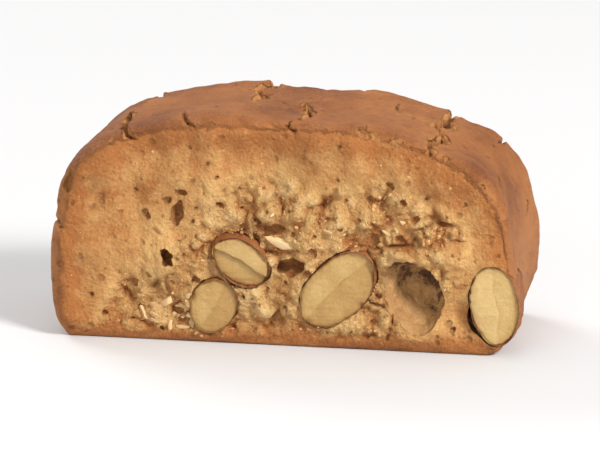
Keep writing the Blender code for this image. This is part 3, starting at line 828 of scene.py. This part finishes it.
def rimBreaks(draw):
    # balls that bite into the edge between crust and cut: a cluster at each lost flake, and small nicks
    # elsewhere; no two balls of one cutter touch
    cutters = []
    for group in range(crust["bites"]):
        arcs, sides, radii = [], [], []
        for side, share, along, across, into in crust["flakes"]:
            arcs.append(domeArc(share) + along * draw.uniform(-0.95, 0.95))
            sides.append(side)
            radii.append(into * draw.uniform(0.6, 1.15))
        for nick in range(crust["nicks"]):
            arc = domeArc(0) + draw.uniform(-7, 7 + domeArc(1) - domeArc(0))
            side = draw.choice([-1, 1])
            if all(s != side or abs(a - arc) > crust["nickApart"] for a, s in zip(arcs, sides)):
                arcs.append(arc)
                sides.append(side)
                radii.append(draw.uniform(0.2, 0.46))
        arcs, sides, radii = np.array(arcs), np.array(sides), np.array(radii)
        edge, normal = outlineAt(arcs)
        # the rounded rim lies 0.29 of its radius inside the corner of crust and cut
        sunk = 0.29 * rimRadius(edge[:, 1]) + draw.uniform(-0.15, 0.08, len(arcs))
        inner = edge - normal * sunk[:, None]
        spots = np.stack([inner[:, 0], sides * (halfThick - sunk), inner[:, 1]], axis=1)
        turns = np.arctan2(normal[:, 0], -normal[:, 1])
        sizes = radii[:, None] * np.array([1.5, 1.0, 1.0]) * draw.uniform(0.75, 1.3, (len(arcs), 3))
        cutters.append(hollowCutter("rimBite_" + str(group), spots, sizes, turns, 12, 8, 140 + 3 * group,
                                    rim=0.2, bare=-9, cream=0.5, peak=0))
    return cutters


def holeCutters():
    # the named holes, then seeded pores on both cuts that keep off one another
    rows = np.array(crumbLook["holes"])
    places = np.stack([rows[:, 1], rows[:, 0] * (halfThick + 0.1), rows[:, 2]], axis=1)
    sizes = np.stack([rows[:, 3], rows[:, 5], rows[:, 4]], axis=1) * 1.05
    # the pit marks given to the named holes here and to the pores below are painted shade
    cutters = [hollowCutter("namedHoles", places, sizes, np.radians(rows[:, 6]), 30, 18, 85, pit=0.5)]
    taken, spots, radii = places, [], []
    draw = np.random.default_rng(87)
    for side in (-1, 1):
        x = draw.uniform(-loaf["halfLength"], loaf["halfLength"], 900)
        z = draw.uniform(1.0, loaf["height"], 900)
        kept, coarse = keptSpots(side, x, z, 1.25)
        kept = kept[draw.uniform(0, 1, len(kept)) < 0.08 + 0.92 * coarse]
        count = 0
        for spot in kept:
            apart = np.min(np.linalg.norm(taken - spot, axis=1))
            if count < crumbLook["poresASide"] and apart > crumbLook["poreApart"]:
                taken = np.vstack([taken, spot])
                spots.append(spot)
                radii.append(0.16 + 0.42 * draw.uniform() ** 2.8)
                count += 1
    spots, radii = np.array(spots), np.array(radii)
    sizes = radii[:, None] * draw.uniform(0.7, 1.5, (len(spots), 3))
    turns = draw.uniform(0, np.pi, len(spots))
    cutters.append(hollowCutter("pores", spots, sizes, turns, 12, 8, 88, pit=0.28))
    hollows.extend((np.sign(spot[1]), spot[0], spot[2], radius, radius) for spot, radius in zip(spots, radii))
    return cutters + rimBreaks(draw)


def reworked(mesh, change):
    # runs a change on an editable copy of the mesh and puts the copy back
    work = bmesh.new()
    work.from_mesh(mesh)
    work.verts.ensure_lookup_table()
    change(work)
    work.to_mesh(mesh)
    work.free()


def splitIntoTriangles(work):
    # every face with more than three corners becomes triangles
    bmesh.ops.triangulate(work, faces=work.faces)


def cutPockets():
    # the cutting meets flat faces alone, so every face is split into triangles before it
    cutters = [pocketCutter("pocket_" + name, row) for name, row in almonds.items()]
    cutters += [pocketCutter("pocketPrint", almondPrint)] + holeCutters()
    group = bpy.data.collections.new("pocketCutters")
    bpy.context.scene.collection.children.link(group)
    for cutter in cutters:
        group.objects.link(cutter)
    for whole in [dough] + cutters:
        reworked(whole.data, splitIntoTriangles)
    carve = dough.modifiers.new("pockets", "BOOLEAN")
    carve.operation, carve.operand_type, carve.collection = "DIFFERENCE", "COLLECTION", group
    carve.solver = "MANIFOLD"
    bpy.context.view_layer.update()
    cutDough = bpy.data.meshes.new_from_object(dough.evaluated_get(bpy.context.evaluated_depsgraph_get()))
    dough.modifiers.clear()
    dough.data = cutDough
    for cutter in cutters:
        bpy.data.objects.remove(cutter, do_unlink=True)
    bpy.data.collections.remove(group)


def edgeEnds(mesh):
    # the numbers of the points at the two ends of every edge
    ends = np.empty(len(mesh.edges) * 2, int)
    mesh.edges.foreach_get("vertices", ends)
    return ends.reshape(-1, 2).T


def dropScraps(mesh):
    # keeps the one body that most points belong to: joined points come to share a number, as each takes the
    # smaller one of its edges' ends until nothing changes
    a, b = edgeEnds(mesh)
    shared = np.arange(len(mesh.vertices))
    settled = False
    while not settled:
        lower = np.minimum(shared[a], shared[b])
        lowered = shared.copy()
        np.minimum.at(lowered, a, lower)
        np.minimum.at(lowered, b, lower)
        lowered = lowered[lowered]
        settled = np.array_equal(lowered, shared)
        shared = lowered
    scraps = np.nonzero(shared != np.argmax(np.bincount(shared)))[0]

    def drop(work):
        # deletes the points of the scraps, and with them their faces
        bmesh.ops.delete(work, geom=[work.verts[n] for n in scraps], context="VERTS")
    reworked(mesh, drop)
    return len(scraps)


def mendMarks(mesh):
    # points that the cutting made new take the mean of their neighbours' marks
    count = len(mesh.vertices)
    a, b = edgeEnds(mesh)
    marks = {mark: np.empty(count, np.float32) for mark in cutterMarks}
    for mark, values in marks.items():
        mesh.attributes[mark].data.foreach_get("value", values)
    sure = (marks.pop("known") > 0.99).astype(float)
    weight = np.bincount(a, sure[b], count) + np.bincount(b, sure[a], count)
    for mark, values in marks.items():
        total = np.bincount(a, sure[b] * values[b], count) + np.bincount(b, sure[a] * values[a], count)
        values = np.where((sure < 1) & (weight > 0), total / np.maximum(weight, 1), values)
        mesh.attributes[mark].data.foreach_set("value", values.astype(np.float32))
    mesh.attributes.remove(mesh.attributes["known"])


cutPockets()
print("loose points dropped:", dropScraps(dough.data))
mendMarks(dough.data)
dough.data.set_sharp_from_angle(angle=math.radians(62))
print("pockets cut:", len(dough.data.polygons), "faces,", round(meshVolume(dough.data) * 1e6, 2), "cm3")
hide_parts("biscuit")
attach(dough, "root")


# the almonds themselves

def almondPiece(name, row):
    # behind the cut the nut's own skin with its furrows; over the cut a lid of rings from its rim to its
    # middle, with a seam along the nut's width where its two halves meet, one half a little lower, and a
    # worn edge
    around, down, rings, side = almondLook["around"], almondLook["down"], almondLook["rings"], row["side"]
    start = cutPoint(row, almondLook["proud"])
    ways = almondGrid(row, around, down)
    wall = start + ways * nutSkin(row, start, ways)[..., None]
    grid, flatWall = wall.shape[:2], wall.reshape(-1, 3)
    middle, axes = almondFrame(row)
    local = (wall - middle) @ axes
    turned = np.arctan2(local[..., 1], local[..., 0]) + 0.16 * softNoise(flatWall, 2.6, 90).reshape(grid)
    furrow = 0.13 * np.abs(np.sin(9.5 * turned + 0.3 * local[..., 2])) + 0.06 * np.sin(23 * turned)
    furrow += 0.06 * softNoise(flatWall, 1.6, 91).reshape(grid) - 0.12
    # where the nut comes out of the loaf's end it stands a little further out
    furrow += (0.30 + 0.6 * (furrow + 0.06)) * rise(wall[..., 0], 24.2, 25.6)
    wall = wall + ways * furrow[..., None] * np.linspace(1, 0.25, down)[:, None, None]
    share = (1 - (np.arange(1, rings) / rings) ** 1.35)[:, None, None]
    lid = start + (wall[-1] - start) * share
    onLid = np.concatenate([lid.reshape(-1, 3), start[None]])
    fromRim = np.append(np.linalg.norm(wall[-1][None] - lid, axis=-1).reshape(-1), 9.0)
    inNut = (onLid - middle) @ axes
    across = inNut[:, 1] + noiseSum(onLid, (0.30, 2.4, 92), (0.08, 0.7, 95))
    tapered = row["seam"] * (1 - rise(np.abs(inNut[:, 0]) / (0.5 * row["size"][1]), 0.55, 0.95))
    sink = 0.10 + 0.18 * tapered * np.exp(-(across / 0.14) ** 2) + row["step"] * rise(across, -0.07, 0.07)
    sink += (onLid[:, 0] - row["x"]) * row["tilt"][0] + (onLid[:, 2] - row["z"]) * row["tilt"][1]
    worn = np.clip(layeredNoise(onLid, 1.7, 96, 2) - 0.22, 0, 1)
    sink += 0.20 * np.exp(-fromRim / 0.14) + 0.55 * worn * np.exp(-fromRim / 0.7)
    sink += 0.09 * layeredNoise(onLid, 3.1, 93, 2) + 0.05 * (0.5 - lumps(onLid, 2.2, 97))
    sink += 0.03 * layeredNoise(onLid * np.array([0.4, 1.0, 1.6]), 0.5, 94, 2)
    onLid[:, 1] -= side * np.maximum(sink, -0.08)
    inward = np.array([[0.0, -side, 0.0]])
    deepest = start + inward[0] * nutSkin(row, start, inward)[0]

    def joined(wallPart, deepPart, lidPart):
        # the wall's points, the lid's rings, the deepest point and the lid's middle
        return np.concatenate([wallPart, lidPart[:-1], [deepPart], lidPart[-1:]])
    behind = np.full(grid, -1.0)
    behind[-1] = 0.0
    none = np.zeros(behind.size)
    marks = {
        "edge": joined(behind.reshape(-1), -1.0, fromRim + row["peel"]),
        "seam": joined(none, 0.0, tapered * np.exp(-(across / 0.15) ** 2)),
        "toast": row["toast"] - 0.1 + joined(none, 0.0, 0.20 * rise(across, -0.2, 0.2)),
    }
    points = joined(wall.reshape(-1, 3), deepest, onLid)
    faces = closedRings(down + rings - 1, around)
    nut = linked(name + "_nut", closedMesh(name + "_nut", points, faces, marks))
    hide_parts(name)
    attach(nut, "root")
    return nut


nuts = [almondPiece(name, row) for name, row in almonds.items()]
print("almonds", len(nuts))


# chips of nut and loose grains of crumb, sunk in the cuts

bits = {
    # side, x, z, half length, half width, half height, turn of each chip
    "chips": [(-1, 0.0, 11.6, 2.1, 0.75, 0.9, -12), (-1, -13.4, 4.1, 1.2, 0.75, 0.8, 30),
              (-1, -15.6, 2.9, 0.9, 0.7, 0.7, -40), (-1, 11.2, 17.2, 1.3, 0.8, 0.8, 15),
              (1, -1.2, 8.6, 1.5, 0.9, 0.9, 40), (1, 13.9, 3.4, 1.2, 0.8, 0.8, -15),
              (1, -14.6, 4.0, 1.7, 0.8, 0.9, 10), (1, 4.6, 18.6, 1.2, 0.8, 0.8, -35)],
    "chipSwell": (1.15, 1.1, 1.2), "chipSunk": 0.45,
    # side, x, z, spread along, spread up, how many slivers, of each heap of chopped nut
    "heaps": [(-1, -10.9, 3.1, 4.0, 1.7, 64), (-1, 13.6, 14.4, 3.0, 1.5, 5), (-1, 3.4, 14.2, 5.0, 1.6, 3),
              (1, -9.0, 4.6, 3.5, 1.5, 16), (1, 7.5, 16.0, 2.8, 1.4, 7), (1, 2.0, 9.0, 7.0, 4.0, 6)],
    "sliver": ((0.35, 0.95), (0.18, 0.38), (0.20, 0.50)),
    "grainsASide": 1500, "grainSize": (0.08, 0.28), "rimGrains": 18, "rimGrainSize": (0.10, 0.32),
    # points around and down, and seed, of each kind of shard; how many planes cut it and how far out they lie
    "chipShape": (32, 20, 5), "sliverShape": (16, 10, 17), "grainShape": (7, 4, 23),
    "shardPlanes": 9, "shardOffset": (0.34, 0.88),
}


def shardShapes(around, down, seed, sizes):
    # each shard is the inside of a few random flat cuts round its middle: in every direction it reaches to
    # the nearest of those planes, or to a ball of radius 1
    draw = np.random.default_rng(seed)
    ways, faces = roundGrid(around, down)
    planes = draw.normal(size=(len(sizes), bits["shardPlanes"], 3))
    planes /= np.linalg.norm(planes, axis=2, keepdims=True)
    offset = draw.uniform(*bits["shardOffset"], size=planes.shape[:2])
    facing = np.einsum("vk,npk->nvp", ways, planes)
    reach = np.minimum(np.min(offset[:, None, :] / np.maximum(facing, 0.08), axis=2), 1.0)
    return ways[None] * reach[..., None] * sizes[:, None, :], faces


def manyInOne(name, slot, shapes, faces, places, **marks):
    # one piece of all these shapes, each at its place; a mark holds a number for each shape or each of its
    # points
    points = (shapes + places[:, None, :]).reshape(-1, 3)
    spread = {mark: np.broadcast_to(values.reshape(len(shapes), -1), shapes.shape[:2]).reshape(-1)
              for mark, values in marks.items()}
    mesh = closedMesh(name, points, copiedFaces(faces, *shapes.shape[:2]), spread)
    mesh.set_sharp_from_angle(angle=math.radians(32))
    piece = linked(name, mesh)
    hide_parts("biscuit")
    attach(piece, "root")


def makeChips():
    # named chips, their skin on the upper side of one and the lower side of the next
    rows = np.array(bits["chips"])
    around, down, seed = bits["chipShape"]
    shapes, faces = shardShapes(around, down, seed, rows[:, [3, 5, 4]] * bits["chipSwell"])
    skins = roundGrid(around, down)[0][:, 2] * np.resize([1, -1], len(rows))[:, None]
    shapes = spun(shapes, -np.radians(rows[:, 6]), np.zeros(len(rows)))
    places = np.stack([rows[:, 1], np.zeros(len(rows)), rows[:, 2]], axis=1)
    for side in (-1, 1):
        on = rows[:, 0] == side
        places[on, 1] = cutLevel(side, places[on, 0], places[on, 2])[0] - side * bits["chipSunk"]
    manyInOne("nutChips", "almond", shapes, faces, places, tint=np.linspace(0.2, 0.9, len(rows)), skin=skins)


def makeSlivers(draw):
    # heaps of slivers, two in five of them with skin
    heaps = [keptSpots(side, draw.normal(x, wide / 1.6, count), draw.normal(z, tall / 1.6, count), 1.15)[0]
             for side, x, z, wide, tall, count in bits["heaps"]]
    spots = np.concatenate(heaps)
    count = len(spots)
    sizes = np.stack([draw.uniform(*span, count) for span in bits["sliver"]], axis=1)
    around, down, seed = bits["sliverShape"]
    shapes, faces = shardShapes(around, down, seed, sizes)
    skins = roundGrid(around, down)[0][:, 2] * np.where(draw.uniform(0, 1, count) < 0.4, 1.0, 0.3)[:, None]
    shapes = spun(shapes, draw.uniform(0, 2 * np.pi, count), draw.uniform(-0.5, 0.5, count))
    tints = draw.uniform(0, 1, count) ** 1.5
    manyInOne("nutSlivers", "almond", shapes, faces, spots, tint=tints, skin=skins)


def grainSpots(side, count, draw):
    # seeded places on a cut in drifts, more of them where the crumb is coarse
    x = draw.uniform(-loaf["halfLength"], loaf["halfLength"], count * 12)
    z = draw.uniform(0.7, loaf["height"], count * 12)
    spots, coarse = keptSpots(side, x, z, 1.12)
    drift = 0.5 + 0.8 * softNoise(spots * np.array([1, 0, 1]), 2.3, 29 + side)
    return spots[draw.uniform(0, 1, len(spots)) < 0.02 + np.clip(drift, 0, 1) * coarse ** 1.5][:count]


def rimSpots(side, draw):
    # seeded places on the crumb along the edge of each nut on this side, in three clusters, off the open gaps
    spots, count = [], bits["rimGrains"]
    for row in almonds.values():
        if row["side"] == side:
            start = cutPoint(row)
            turn = draw.choice(draw.uniform(0, 2 * np.pi, 3), count) + draw.normal(0, 0.16, count)
            turn = turn[np.cos(turn - math.radians(row["open"][0])) < 0.3]
            ways = np.stack([np.cos(turn), 0 * turn, np.sin(turn)], axis=1)
            reach = nutSkin(row, start, ways) + 0.26 + np.abs(draw.normal(0, 0.26, len(turn)))
            spots.append(start + ways * reach[:, None])
    spots = np.concatenate(spots)
    spots = spots[insideOutline(spots[:, 0], spots[:, 2]) & (spots[:, 2] > 0.5)]
    spots[:, 1] = cutLevel(side, spots[:, 0], spots[:, 2])[0] - side * 0.04
    return spots


def makeGrains(name, side, draw):
    # many small grains and few large ones over a cut, and larger browner ones along the nuts
    spots = grainSpots(side, bits["grainsASide"], draw)
    onRims = rimSpots(side, draw)
    onCrumb, count = len(spots), len(spots) + len(onRims)
    small, large = bits["grainSize"]
    size = small + (large - small) * draw.uniform(0, 1, count) ** 2.6
    size[onCrumb:] = draw.uniform(*bits["rimGrainSize"], len(onRims))
    sizes = size[:, None] * draw.uniform(0.55, 1.35, (count, 3))
    around, down, seed = bits["grainShape"]
    shapes, faces = shardShapes(around, down, seed + side, sizes)
    shapes = spun(shapes, draw.uniform(0, 2 * np.pi, count), draw.uniform(0, 2 * np.pi, count))
    spots[:, 1] -= side * 0.35 * size[:onCrumb]
    tints = draw.uniform(0, 1, count)
    tints[onCrumb:] = 0.55 + 0.6 * tints[onCrumb:]
    manyInOne(name, "baked_dough", shapes, faces, np.concatenate([spots, onRims]), tint=tints)


makeChips()
scatter = np.random.default_rng(15)
makeSlivers(scatter)
makeGrains("frontGrains", -1, scatter)
makeGrains("backGrains", 1, scatter)
print("chips, slivers and grains")


# tools for the finishes

def paint(red, green, blue):
    # a colour as a screen shows it, 0 to 255, in the numbers that shaders add and mix
    share = [c / 255 for c in (red, green, blue)]
    return tuple(c / 12.92 if c <= 0.04045 else ((c + 0.055) / 1.055) ** 2.4 for c in share) + (1.0,)


def plug(socket, value):
    # a link where the value comes out of another node, else a constant on the socket
    if isinstance(value, bpy.types.NodeSocket):
        socket.id_data.links.new(value, socket)
    else:
        socket.default_value = value


def node(tree, kind, values=None, **settings):
    # a shader node with these settings, and with these values plugged into its sockets
    made = tree.nodes.new("ShaderNode" + kind)
    for name, value in settings.items():
        setattr(made, name, value)
    for name, value in (values or {}).items():
        plug(made.inputs[name], value)
    return made


def treeOf(values):
    # the node tree that the first socket among these values belongs to
    return next(value.id_data for value in values if isinstance(value, bpy.types.NodeSocket))


def maths(operation, *values, clamp=False):
    # the result of a Math node on these sockets and constants
    made = node(treeOf(values), "Math", dict(enumerate(values)), operation=operation, use_clamp=clamp)
    return made.outputs[0]


def times(first, second):
    # first times second
    return maths("MULTIPLY", first, second)


def timesPlus(value, factor, added):
    # value times factor, and then the added one on top
    return maths("MULTIPLY_ADD", value, factor, added)


def mixed(share, first, second):
    # two colours, the second one by this share
    values = {0: share, 6: first, 7: second}
    return node(treeOf(values.values()), "Mix", values, data_type="RGBA").outputs[2]


def ranged(value, low, high, least=0.0, most=1.0):
    # a value's way from low to high as a number from least to most
    values = {"Value": value, "From Min": low, "From Max": high, "To Min": least, "To Max": most}
    return node(value.id_data, "MapRange", values).outputs["Result"]


def noise(place, scale, detail, roughness=0.5):
    # the outputs of a layered noise with about as many cells in a metre as its scale says
    values = {"Vector": place, "Scale": scale, "Detail": detail, "Roughness": roughness}
    return node(place.id_data, "TexNoise", values).outputs


def marked(tree, name):
    # the number that a mesh carries at each point under this name
    return node(tree, "Attribute", None, attribute_name=name).outputs["Fac"]


def bump(shader, height, distance, strength):
    # tips the shader's normal by the slope of a height, whose 1 stands for this distance in metres
    made = node(height.id_data, "Bump", {"Height": height, "Distance": distance, "Strength": strength})
    plug(shader.inputs["Normal"], made.outputs["Normal"])


def newGroup(name, inputs, *outputs):
    # an empty shader group with these sockets: its tree, and the sockets of its two ends; the one named Color
    # carries a colour
    group = bpy.data.node_groups.new(name, "ShaderNodeTree")
    for socket, value in inputs.items():
        kind = "NodeSocketColor" if isinstance(value, tuple) else "NodeSocketFloat"
        group.interface.new_socket(socket, in_out="INPUT", socket_type=kind).default_value = value
    for socket in outputs:
        kind = "NodeSocketColor" if socket == "Color" else "NodeSocketFloat"
        group.interface.new_socket(socket, in_out="OUTPUT", socket_type=kind)
    return group, group.nodes.new("NodeGroupInput").outputs, group.nodes.new("NodeGroupOutput").inputs


def makeOvenTone():
    # three baked colours mixed by how toasted a place is, mottled at two sizes
    colours = {"Pale": paint(212, 172, 118), "Golden": paint(198, 148, 92), "Brown": paint(176, 118, 72)}
    inputs = {**colours, "Toast": 0.5, "Mottle": 0.3, "Scale": 300.0}
    group, given, out = newGroup("ovenTone", inputs, "Color")
    place = node(group, "TexCoord").outputs["Object"]
    wide = noise(place, given["Scale"], 5.0, 0.6)["Fac"]
    fine = noise(place, times(given["Scale"], 7.3), 3.0, 0.65)["Fac"]
    both = maths("ADD", times(wide, 0.62), times(fine, 0.38))
    shift = times(maths("SUBTRACT", both, 0.5), times(given["Mottle"], 4.0))
    tone = maths("ADD", given["Toast"], shift, clamp=True)
    low = mixed(ranged(tone, 0.0, 0.5), given["Pale"], given["Golden"])
    plug(out["Color"], mixed(ranged(tone, 0.5, 1.0), low, given["Brown"]))
    return group


def makeSandyGrain():
    # sand-like grains as a height, and a few specks as a mask
    inputs = {"Scale": 2600.0, "Coarse": 0.5, "Specks": 0.06}
    group, given, out = newGroup("sandyGrain", inputs, "Height", "Speck")
    place = node(group, "TexCoord").outputs["Object"]
    cells = node(group, "TexVoronoi", {"Vector": place, "Scale": given["Scale"], "Randomness": 1.0}).outputs
    dust = noise(place, times(given["Scale"], 1.7), 4.0)["Fac"]
    rounded = times(maths("SUBTRACT", 1.0, cells["Distance"]), given["Coarse"])
    plug(out["Height"], maths("ADD", rounded, times(dust, 0.6)))
    shade = node(group, "SeparateColor", {"Color": cells["Color"]}).outputs["Red"]
    speck = maths("LESS_THAN", shade, given["Specks"])
    plug(out["Speck"], times(speck, ranged(cells["Distance"], 0.45, 0.2)))
    return group


ovenTone, sandyGrain = makeOvenTone(), makeSandyGrain()


def baked(tree, toast, colours, mottle, scale):
    # the colour between three tones of baking that belongs to this toast
    values = dict(zip(("Pale", "Golden", "Brown"), colours), Toast=toast, Mottle=mottle, Scale=scale)
    return node(tree, "Group", values, node_tree=ovenTone).outputs["Color"]


def grained(tree, scale, coarse, specks):
    # the height and the specks of sandy grain, with about as many grains in a metre as its scale says
    values = {"Scale": scale, "Coarse": coarse, "Specks": specks}
    return node(tree, "Group", values, node_tree=sandyGrain).outputs


# the finishes

doughFinish = {
    # pale, golden and brown of each part, how mottled it is, and how many mottles lie in a metre
    "crumb": ((paint(228, 192, 135), paint(203, 157, 99), paint(166, 106, 58)), 0.36, 380.0),
    "crust": ((paint(190, 127, 75), paint(168, 106, 60), paint(130, 77, 44)), 0.38, 420.0),
    "bared": ((paint(208, 156, 99), paint(186, 130, 78), paint(142, 88, 48)), 0.42, 800.0),
    "pocket": ((paint(200, 160, 108), paint(178, 133, 84), paint(142, 94, 57)), 0.45, 600.0),
    # the three colours on the next line are painted shade: for pits, holes and pinholes, for the pockets'
    # walls, and for the cracks' insides
    "pit": paint(122, 68, 38), "paintedPocketShade": paint(80, 49, 41), "paintedCrackShade": paint(104, 60, 34),
    "speckPale": paint(230, 194, 140), "speckDark": paint(112, 66, 37),
    # grains in a metre, how high they stand, and the share of them that are specks
    "sand": (2400.0, 0.6, 0.07), "darkSand": (1700.0, 0.4, 0.06), "pinholes": (880.0, 0.4, 0.11),
    "pricks": (1700.0, 0.5, 0.05), "scorch": (640.0, 0.5, 0.16),
    # scale, detail and roughness of each noise
    "fine": (1250.0, 6.0, 0.68), "patches": (420.0, 6.0, 0.7), "wrinkles": (480.0, 9.0, 0.7),
    "bend": (420.0, 4.0, 0.6), "bendReach": (0.004, 0.004, 0.004), "glaze": 260.0,
}


def makeDoughFinish():
    # crumb, crust, bared dough and pockets each have their tone and grain, and are mixed by the marks that
    # the mesh carries
    look = doughFinish
    finish, tree, shader = newMaterial("bakedDough", {"Specular IOR Level": 0.2})
    coarse, rim, pit, bite = [marked(tree, name) for name in ("coarse", "rim", "pit", "bite")]
    place = node(tree, "TexCoord").outputs["Object"]
    fine, patches, wrinkles = [noise(place, *look[name])["Fac"] for name in ("fine", "patches", "wrinkles")]
    around = maths("SUBTRACT", fine, 0.5)
    sand, darkSand, pinholes = [grained(tree, *look[name]) for name in ("sand", "darkSand", "pinholes")]
    pricks, scorch = [grained(tree, *look[name])["Speck"] for name in ("pricks", "scorch")]
    # crumb: a painted highlight on its peaks and painted shade in the hollows between them, paler where it is
    # torn open, browner near the crust
    toast = timesPlus(marked(tree, "cream"), -0.46, 0.80)
    toast = timesPlus(maths("POWER", ranged(rim, 4.5, 0.4), 1.6), 0.36, toast)
    crumb = baked(tree, timesPlus(marked(tree, "peak"), -0.8, toast), *look["crumb"])
    crumb = mixed(times(sand["Speck"], timesPlus(coarse, 0.3, 0.12)), crumb, look["speckPale"])
    crumb = mixed(times(darkSand["Speck"], 0.5), crumb, look["speckDark"])
    # painted shade: pinholes and pits are darkened with the pit colour
    crumb = mixed(times(pinholes["Speck"], 0.42), crumb, look["pit"])
    crumb = mixed(ranged(pit, 0.15, 1.1, 0.0, 0.7), crumb, look["pit"])
    # crust: its own bake, and the bared dough of cracks and lost skin
    # painted shade: the crust's pinholes are dark dots of the dark speck colour
    skin = mixed(times(pricks, 0.32), baked(tree, marked(tree, "bake"), *look["crust"]), look["speckDark"])
    skin = mixed(times(scorch, 0.34), skin, look["crust"][0][2])
    bared = mixed(0.45, baked(tree, 0.36, *look["bared"]), crumb)
    # painted shade: the deeper a crack runs, the darker its inside is painted
    bared = mixed(ranged(marked(tree, "crack"), 0.25, 1.0, 0.0, 0.9), bared, look["paintedCrackShade"])
    chipped = ranged(timesPlus(around, 0.3, bite), 0.05, 0.35, 0.0, 0.45)
    bare = maths("MAXIMUM", ranged(timesPlus(around, 0.8, marked(tree, "bare")), 0.06, -0.04), chipped)
    # where the crust ends on the cut its edge wanders
    border = ranged(timesPlus(around, 2.2, rim), 0.95, 0.35)
    colour = mixed(border, crumb, mixed(bare, skin, bared))
    # pockets: smooth and tan, with painted shade on the print's upper right wall and deep inside the pockets
    pocketShadeShare = maths("ADD", marked(tree, "paintedPocketShade"), timesPlus(patches, 3.2, -1.6))
    pocket = mixed(ranged(pocketShadeShare, 0.15, 0.45, 0.0, 0.85), baked(tree, 0.4, *look["pocket"]), look["paintedPocketShade"])
    plug(shader.inputs["Base Color"], mixed(marked(tree, "pocket"), colour, pocket))
    skinShare = times(border, maths("SUBTRACT", 1.0, bare))
    plug(shader.inputs["Roughness"], timesPlus(skinShare, -0.22, 0.84))
    # relief: wrinkles, crackle and pricks on the skin, sand and pinholes on the crumb
    bend = {0: noise(place, *look["bend"])["Color"], 1: look["bendReach"], 2: place}
    bent = node(tree, "VectorMath", bend, operation="MULTIPLY_ADD").outputs["Vector"]
    glaze = node(tree, "TexVoronoi", {"Vector": bent, "Scale": look["glaze"]}, feature="DISTANCE_TO_EDGE")
    crackle = times(ranged(glaze.outputs["Distance"], 0.0, 0.05), ranged(patches, 0.60, 0.42, 0.0, 0.16))
    skinHeight = timesPlus(fine, 0.60, timesPlus(wrinkles, 1.25, crackle))
    skinHeight = timesPlus(pricks, -0.35, skinHeight)
    crumbHeight = times(fine, timesPlus(coarse, 0.35, 0.45))
    crumbHeight = timesPlus(sand["Height"], timesPlus(coarse, 0.30, 0.28), crumbHeight)
    crumbHeight = timesPlus(pinholes["Speck"], -0.4, crumbHeight)
    height = node(tree, "Mix", {0: skinShare, 2: crumbHeight, 3: skinHeight})
    bump(shader, height.outputs[0], 0.0007, 1.0)
    return finish


grainFinish = {
    # rows as in the dough's finish
    "tone": ((paint(222, 180, 122), paint(203, 153, 96), paint(178, 124, 72)), 0.2, 900.0),
    "sand": (3600.0, 0.5, 0.08), "roughness": 0.8,
}


def makeGrainFinish():
    # one tone, as toasted as each grain's tint says
    finish, tree, shader = newMaterial("crumbGrain", {"Roughness": grainFinish["roughness"]})
    plug(shader.inputs["Base Color"], baked(tree, marked(tree, "tint"), *grainFinish["tone"]))
    bump(shader, grained(tree, *grainFinish["sand"])["Height"], 0.00012, 0.7)
    return finish


nutFinish = {
    # rows of colours, grain and noise as in the dough's finish
    "flesh": ((paint(202, 171, 114), paint(180, 144, 86), paint(152, 108, 60)), 0.30, 420.0),
    "skin": ((paint(172, 114, 66), paint(140, 84, 45), paint(92, 52, 29)), 0.45, 520.0),
    "chip": ((paint(232, 202, 150), paint(204, 166, 112), paint(170, 126, 78)), 0.25, 500.0),
    "seam": paint(140, 97, 56), "sand": (2600.0, 0.35, 0.0), "chipSand": (3000.0, 0.3, 0.0),
    "wander": (430.0, 4.0, 0.6), "ribs": (1100.0, 4.0), "ribStretch": (1.0, 0.22, 1.0), "chipRoughness": 0.55,
    "light": {"Specular IOR Level": 0.36, "Subsurface Weight": 0.1, "Subsurface Radius": (1.0, 0.6, 0.3),
              "Subsurface Scale": 0.001},
}


def makeNutFinish():
    # pale flesh on the cut, a little browner at its edge and seam, and ribbed skin beyond an edge that
    # wanders
    look = nutFinish
    finish, tree, shader = newMaterial("almondFlesh", look["light"])
    place = node(tree, "TexCoord").outputs["Object"]
    edge = marked(tree, "edge")
    flesh = baked(tree, timesPlus(ranged(edge, 1.3, 0.0), 0.30, marked(tree, "toast")), *look["flesh"])
    flesh = mixed(times(marked(tree, "seam"), 0.55), flesh, look["seam"])
    width = timesPlus(noise(place, *look["wander"])["Fac"], 1.5, -0.62)
    skin = ranged(maths("SUBTRACT", edge, width), 0.05, -0.03)
    plug(shader.inputs["Base Color"], mixed(skin, flesh, baked(tree, 0.5, *look["skin"])))
    plug(shader.inputs["Roughness"], timesPlus(skin, 0.26, 0.42))
    streaks = node(tree, "Mapping", {"Vector": place, "Scale": look["ribStretch"]}).outputs["Vector"]
    ribs = times(noise(streaks, *look["ribs"])["Fac"], timesPlus(skin, 3.7, 0.7))
    bump(shader, timesPlus(grained(tree, *look["sand"])["Height"], 0.6, ribs), 0.00014, 0.9)
    return finish


def makeChipFinish():
    # flesh as toasted as three quarters of each chip's tint, and skin where the skin mark is high
    finish, tree, shader = newMaterial("almondChip", {"Roughness": nutFinish["chipRoughness"]})
    flesh = baked(tree, times(marked(tree, "tint"), 0.75), *nutFinish["chip"])
    colour = mixed(ranged(marked(tree, "skin"), 0.72, 0.80), flesh, nutFinish["skin"][0][1])
    plug(shader.inputs["Base Color"], colour)
    bump(shader, grained(tree, *nutFinish["chipSand"])["Height"], 0.00008, 0.6)
    return finish


finishes = [
    (makeDoughFinish(), [dough.name]),
    (makeNutFinish(), [nut.name for nut in nuts]),
    (makeChipFinish(), ["nutChips", "nutSlivers"]),
    (makeGrainFinish(), ["frontGrains", "backGrains"]),
]
for finish, names in finishes:
    for name in names:
        bpy.data.objects[name].data.materials.clear()
        bpy.data.objects[name].data.materials.append(finish)
print("finishes")
